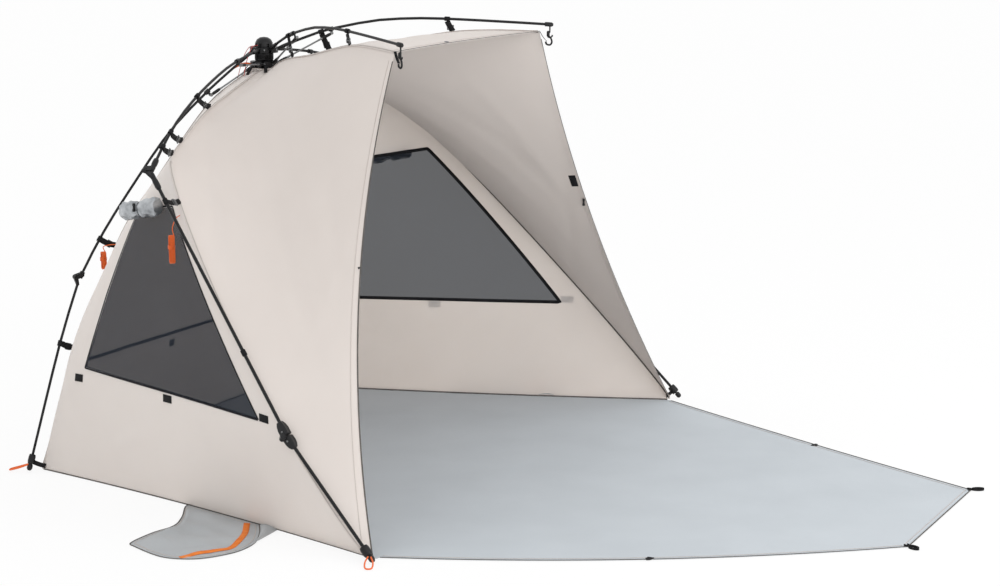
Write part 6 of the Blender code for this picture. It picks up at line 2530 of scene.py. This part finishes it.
@dataclass
class SmallTrim:
    """Squares of hook tape, the dark band inside, the bare label, toggles and the ring on the canopy.

    A place on a panel is the share of its row, and the shares where a stretch of it starts and ends.
    """

    pattern: TentPattern
    canopy: Canopy
    fittings: Fittings
    squares: tuple = ((1.385, 0.338), (0.905, 0.350), (0.420, 0.376))
    square_size: Pair = (0.048, 0.025)
    square_band: Pair = (0.0014, 0.0003)
    steps: Triple = (-0.5, 0.0, 0.5)
    label: Triple = (0.968, 0.388, 0.418)
    label_band: Pair = (0.030, 0.0008)
    toggle: Triple = (0.992, 0.45, 0.46)
    toggle_drop: float = 0.008
    ring: Triple = (0.985, 0.40, 0.42)
    ring_lift: float = 0.003
    band_height: float = 0.355
    band_reach: float = 0.60
    band_width: float = 0.013
    band_steps: int = 61
    tab_places: Triple = (-0.60, -0.02, 0.56)
    tab_drop: float = 0.038
    tab_width: float = 0.034
    inner_band: Pair = (0.0012, 0.0004)

    def build(self) -> None:
        """Sew on every small patch."""
        for side in Side:
            for number, (depth, height) in enumerate(self.squares):
                spots = [(depth, height + self.square_size[1] * step) for step in self.steps]
                seats, facings = self.canopy.on_wall(side, spots)
                sew(ribbon(f"hook_square_{side.label}_{number}", seats, facings, self.square_size[0],
                           *self.square_band), WEBBING)
        self.rear_band()
        label = self.canopy.sheets["front_panel_right"].row(*self.label)
        sew(self.canopy.skins["front_panel_right"].tape("bare_label", label, *self.label_band,
                                                        under=self.canopy.cloth), BINDING)
        for side in Side:
            spot, facing = self.on_panel("front_panel_" + side.label, self.toggle)
            place = stand(spot - facing * self.toggle_drop, UP)
            self.fittings.put("toggle", "front_toggle_" + side.label, place, PLASTIC, gathers=True)
        spot, facing = self.on_panel("roof_panel", self.ring)
        place = stand(spot + facing * self.ring_lift, facing)
        self.fittings.put("eyelet", "roof_ring", place, STEEL, gathers=True)

    def on_panel(self, panel: str, place: Triple) -> tuple[Array, Array]:
        """Return a place on a panel and the panel's facing there."""
        seats, facings = self.canopy.skins[panel].seat(self.canopy.sheets[panel].row(*place)[:1])
        return seats[0], facings[0]

    def rear_band(self) -> None:
        """Sew the dark band and its square tabs on the inside of the rear wall."""
        depth, cloth = self.pattern.hub_depth, self.canopy.cloth
        reach = np.linspace(-self.band_reach, self.band_reach, self.band_steps)
        bands = [("rear_band", [plan(x, depth, self.band_height) for x in reach], self.band_width)]
        level = self.band_height - self.tab_drop
        for number, x in enumerate(self.tab_places):
            places = [plan(x, depth, level + self.square_size[1] * step) for step in self.steps]
            bands.append((f"rear_square_{number}", places, self.tab_width))
        for name, places, width in bands:
            seats, facings = self.canopy.skins["rear_wall"].cast(np.array(places), (0.0, 1.0, 0.0))
            sew(ribbon(name, seats - facings * cloth, -facings, width, *self.inner_band), BINDING)


@dataclass
class Stage:
    """Camera, floor and light of the photograph's view, with plan places and angles in degrees.

    Args:
        yaw: camera turn from straight back, to the right.
        dip: camera tilt below level.
        lamps: name, power and place of each lamp.
        floor_glow: share of its own light that the camera sees on the floor.
    """

    eye: Triple = (-7.102, -3.292, 2.0286)
    yaw: float = 64.056
    dip: float = 10.221
    lens: float = 84.25
    sensor: float = 36.0
    far: float = 200.0
    sky: float = 0.98
    lamps: tuple = (("soft_key", 40.0, (-4.5, -3.5, 4.8)), ("soft_fill", 80.0, (-0.8, -5.0, 2.4)))
    lamp_size: float = 4.0
    aim: Triple = (0.3, 0.7, 0.7)
    floor_size: float = 120.0
    floor_drop: float = 0.0006
    floor_white: float = 0.93
    floor_glow: float = 0.85

    def build(self) -> None:
        """Set up camera, floor, sky and lamps."""
        scene = bpy.context.scene
        scene.view_settings.view_transform = "Standard"
        camera = bpy.data.objects.new("photo_camera", bpy.data.cameras.new("photo_camera"))
        camera.data.lens = self.lens
        camera.data.sensor_width = self.sensor
        camera.data.clip_end = self.far
        camera.location = plan(*self.eye)
        camera.rotation_euler = (math.radians(90 - self.dip), 0.0, -math.radians(self.yaw))
        scene.collection.objects.link(camera)
        scene.camera = camera
        self.floor()
        self.light(scene)

    def floor(self) -> None:
        """Lay a wide white floor that keeps a soft shadow."""
        bpy.ops.object.select_all(action="DESELECT")
        bpy.ops.mesh.primitive_plane_add(size=self.floor_size, location=(0.0, 0.0, -self.floor_drop))
        ground = take("studio_floor")
        recipe = Recipe("studio_white")
        ray = recipe.node("LightPath").outputs["Is Camera Ray"]
        share = recipe.node("Math", {0: ray, 1: self.floor_glow}, operation="MULTIPLY").outputs[0]
        glow = recipe.node("Emission").outputs[0]
        mix = recipe.node("MixShader", {0: share, 1: recipe.shader.outputs[0], 2: glow})
        recipe.feed(recipe.tree.nodes["Material Output"], {"Surface": mix.outputs[0]})
        ground.data.materials.append(recipe.finish({
            "Base Color": (self.floor_white, self.floor_white, self.floor_white, 1.0), "Roughness": 0.95,
            "Specular IOR Level": 0.0}))

    def light(self, scene: bpy.types.Scene) -> None:
        """Light the tent with a white sky and two wide soft lamps.

        Args:
            scene: the scene.
        """
        world = bpy.data.worlds.new("studio_sky")
        world.use_nodes = True
        scene.world = world
        tree = world.node_tree
        sky = tree.nodes["Background"]
        sky.inputs["Strength"].default_value = self.sky
        white = tree.nodes.new("ShaderNodeBackground")
        ray = tree.nodes.new("ShaderNodeLightPath")
        mix = tree.nodes.new("ShaderNodeMixShader")
        for socket in (sky.inputs["Color"], white.inputs["Color"]):
            socket.default_value = (1.0, 1.0, 1.0, 1.0)
        sources = (ray.outputs["Is Camera Ray"], sky.outputs[0], white.outputs[0])
        for source, socket in zip(sources, mix.inputs):
            tree.links.new(source, socket)
        tree.links.new(mix.outputs[0], tree.nodes["World Output"].inputs["Surface"])
        for name, power, place in self.lamps:
            lamp = bpy.data.objects.new(name, bpy.data.lights.new(name, "AREA"))
            lamp.data.energy = power
            lamp.data.size = self.lamp_size
            lamp.location = plan(*place)
            aim = Vector(plan(*self.aim)) - lamp.location
            lamp.rotation_euler = aim.to_track_quat("-Z", "Y").to_euler()
            scene.collection.objects.link(lamp)


def main() -> None:
    """Build every sub-assembly in order."""
    logging.basicConfig(level=logging.INFO, format="%(message)s")
    pattern = TentPattern()
    Stage().build()
    fittings = Fittings()
    fittings.build()
    canopy = Canopy(pattern)
    canopy.build()
    Cords(pattern, canopy).build()
    Groundsheet(pattern).build()
    WindowRolls(canopy, fittings).build()
    PoleStraps(pattern, canopy, fittings).build()
    SmallTrim(pattern, canopy, fittings).build()
    FrameDress(pattern, fittings).build()
    fittings.clear()


if __name__ == "__main__":
    main()
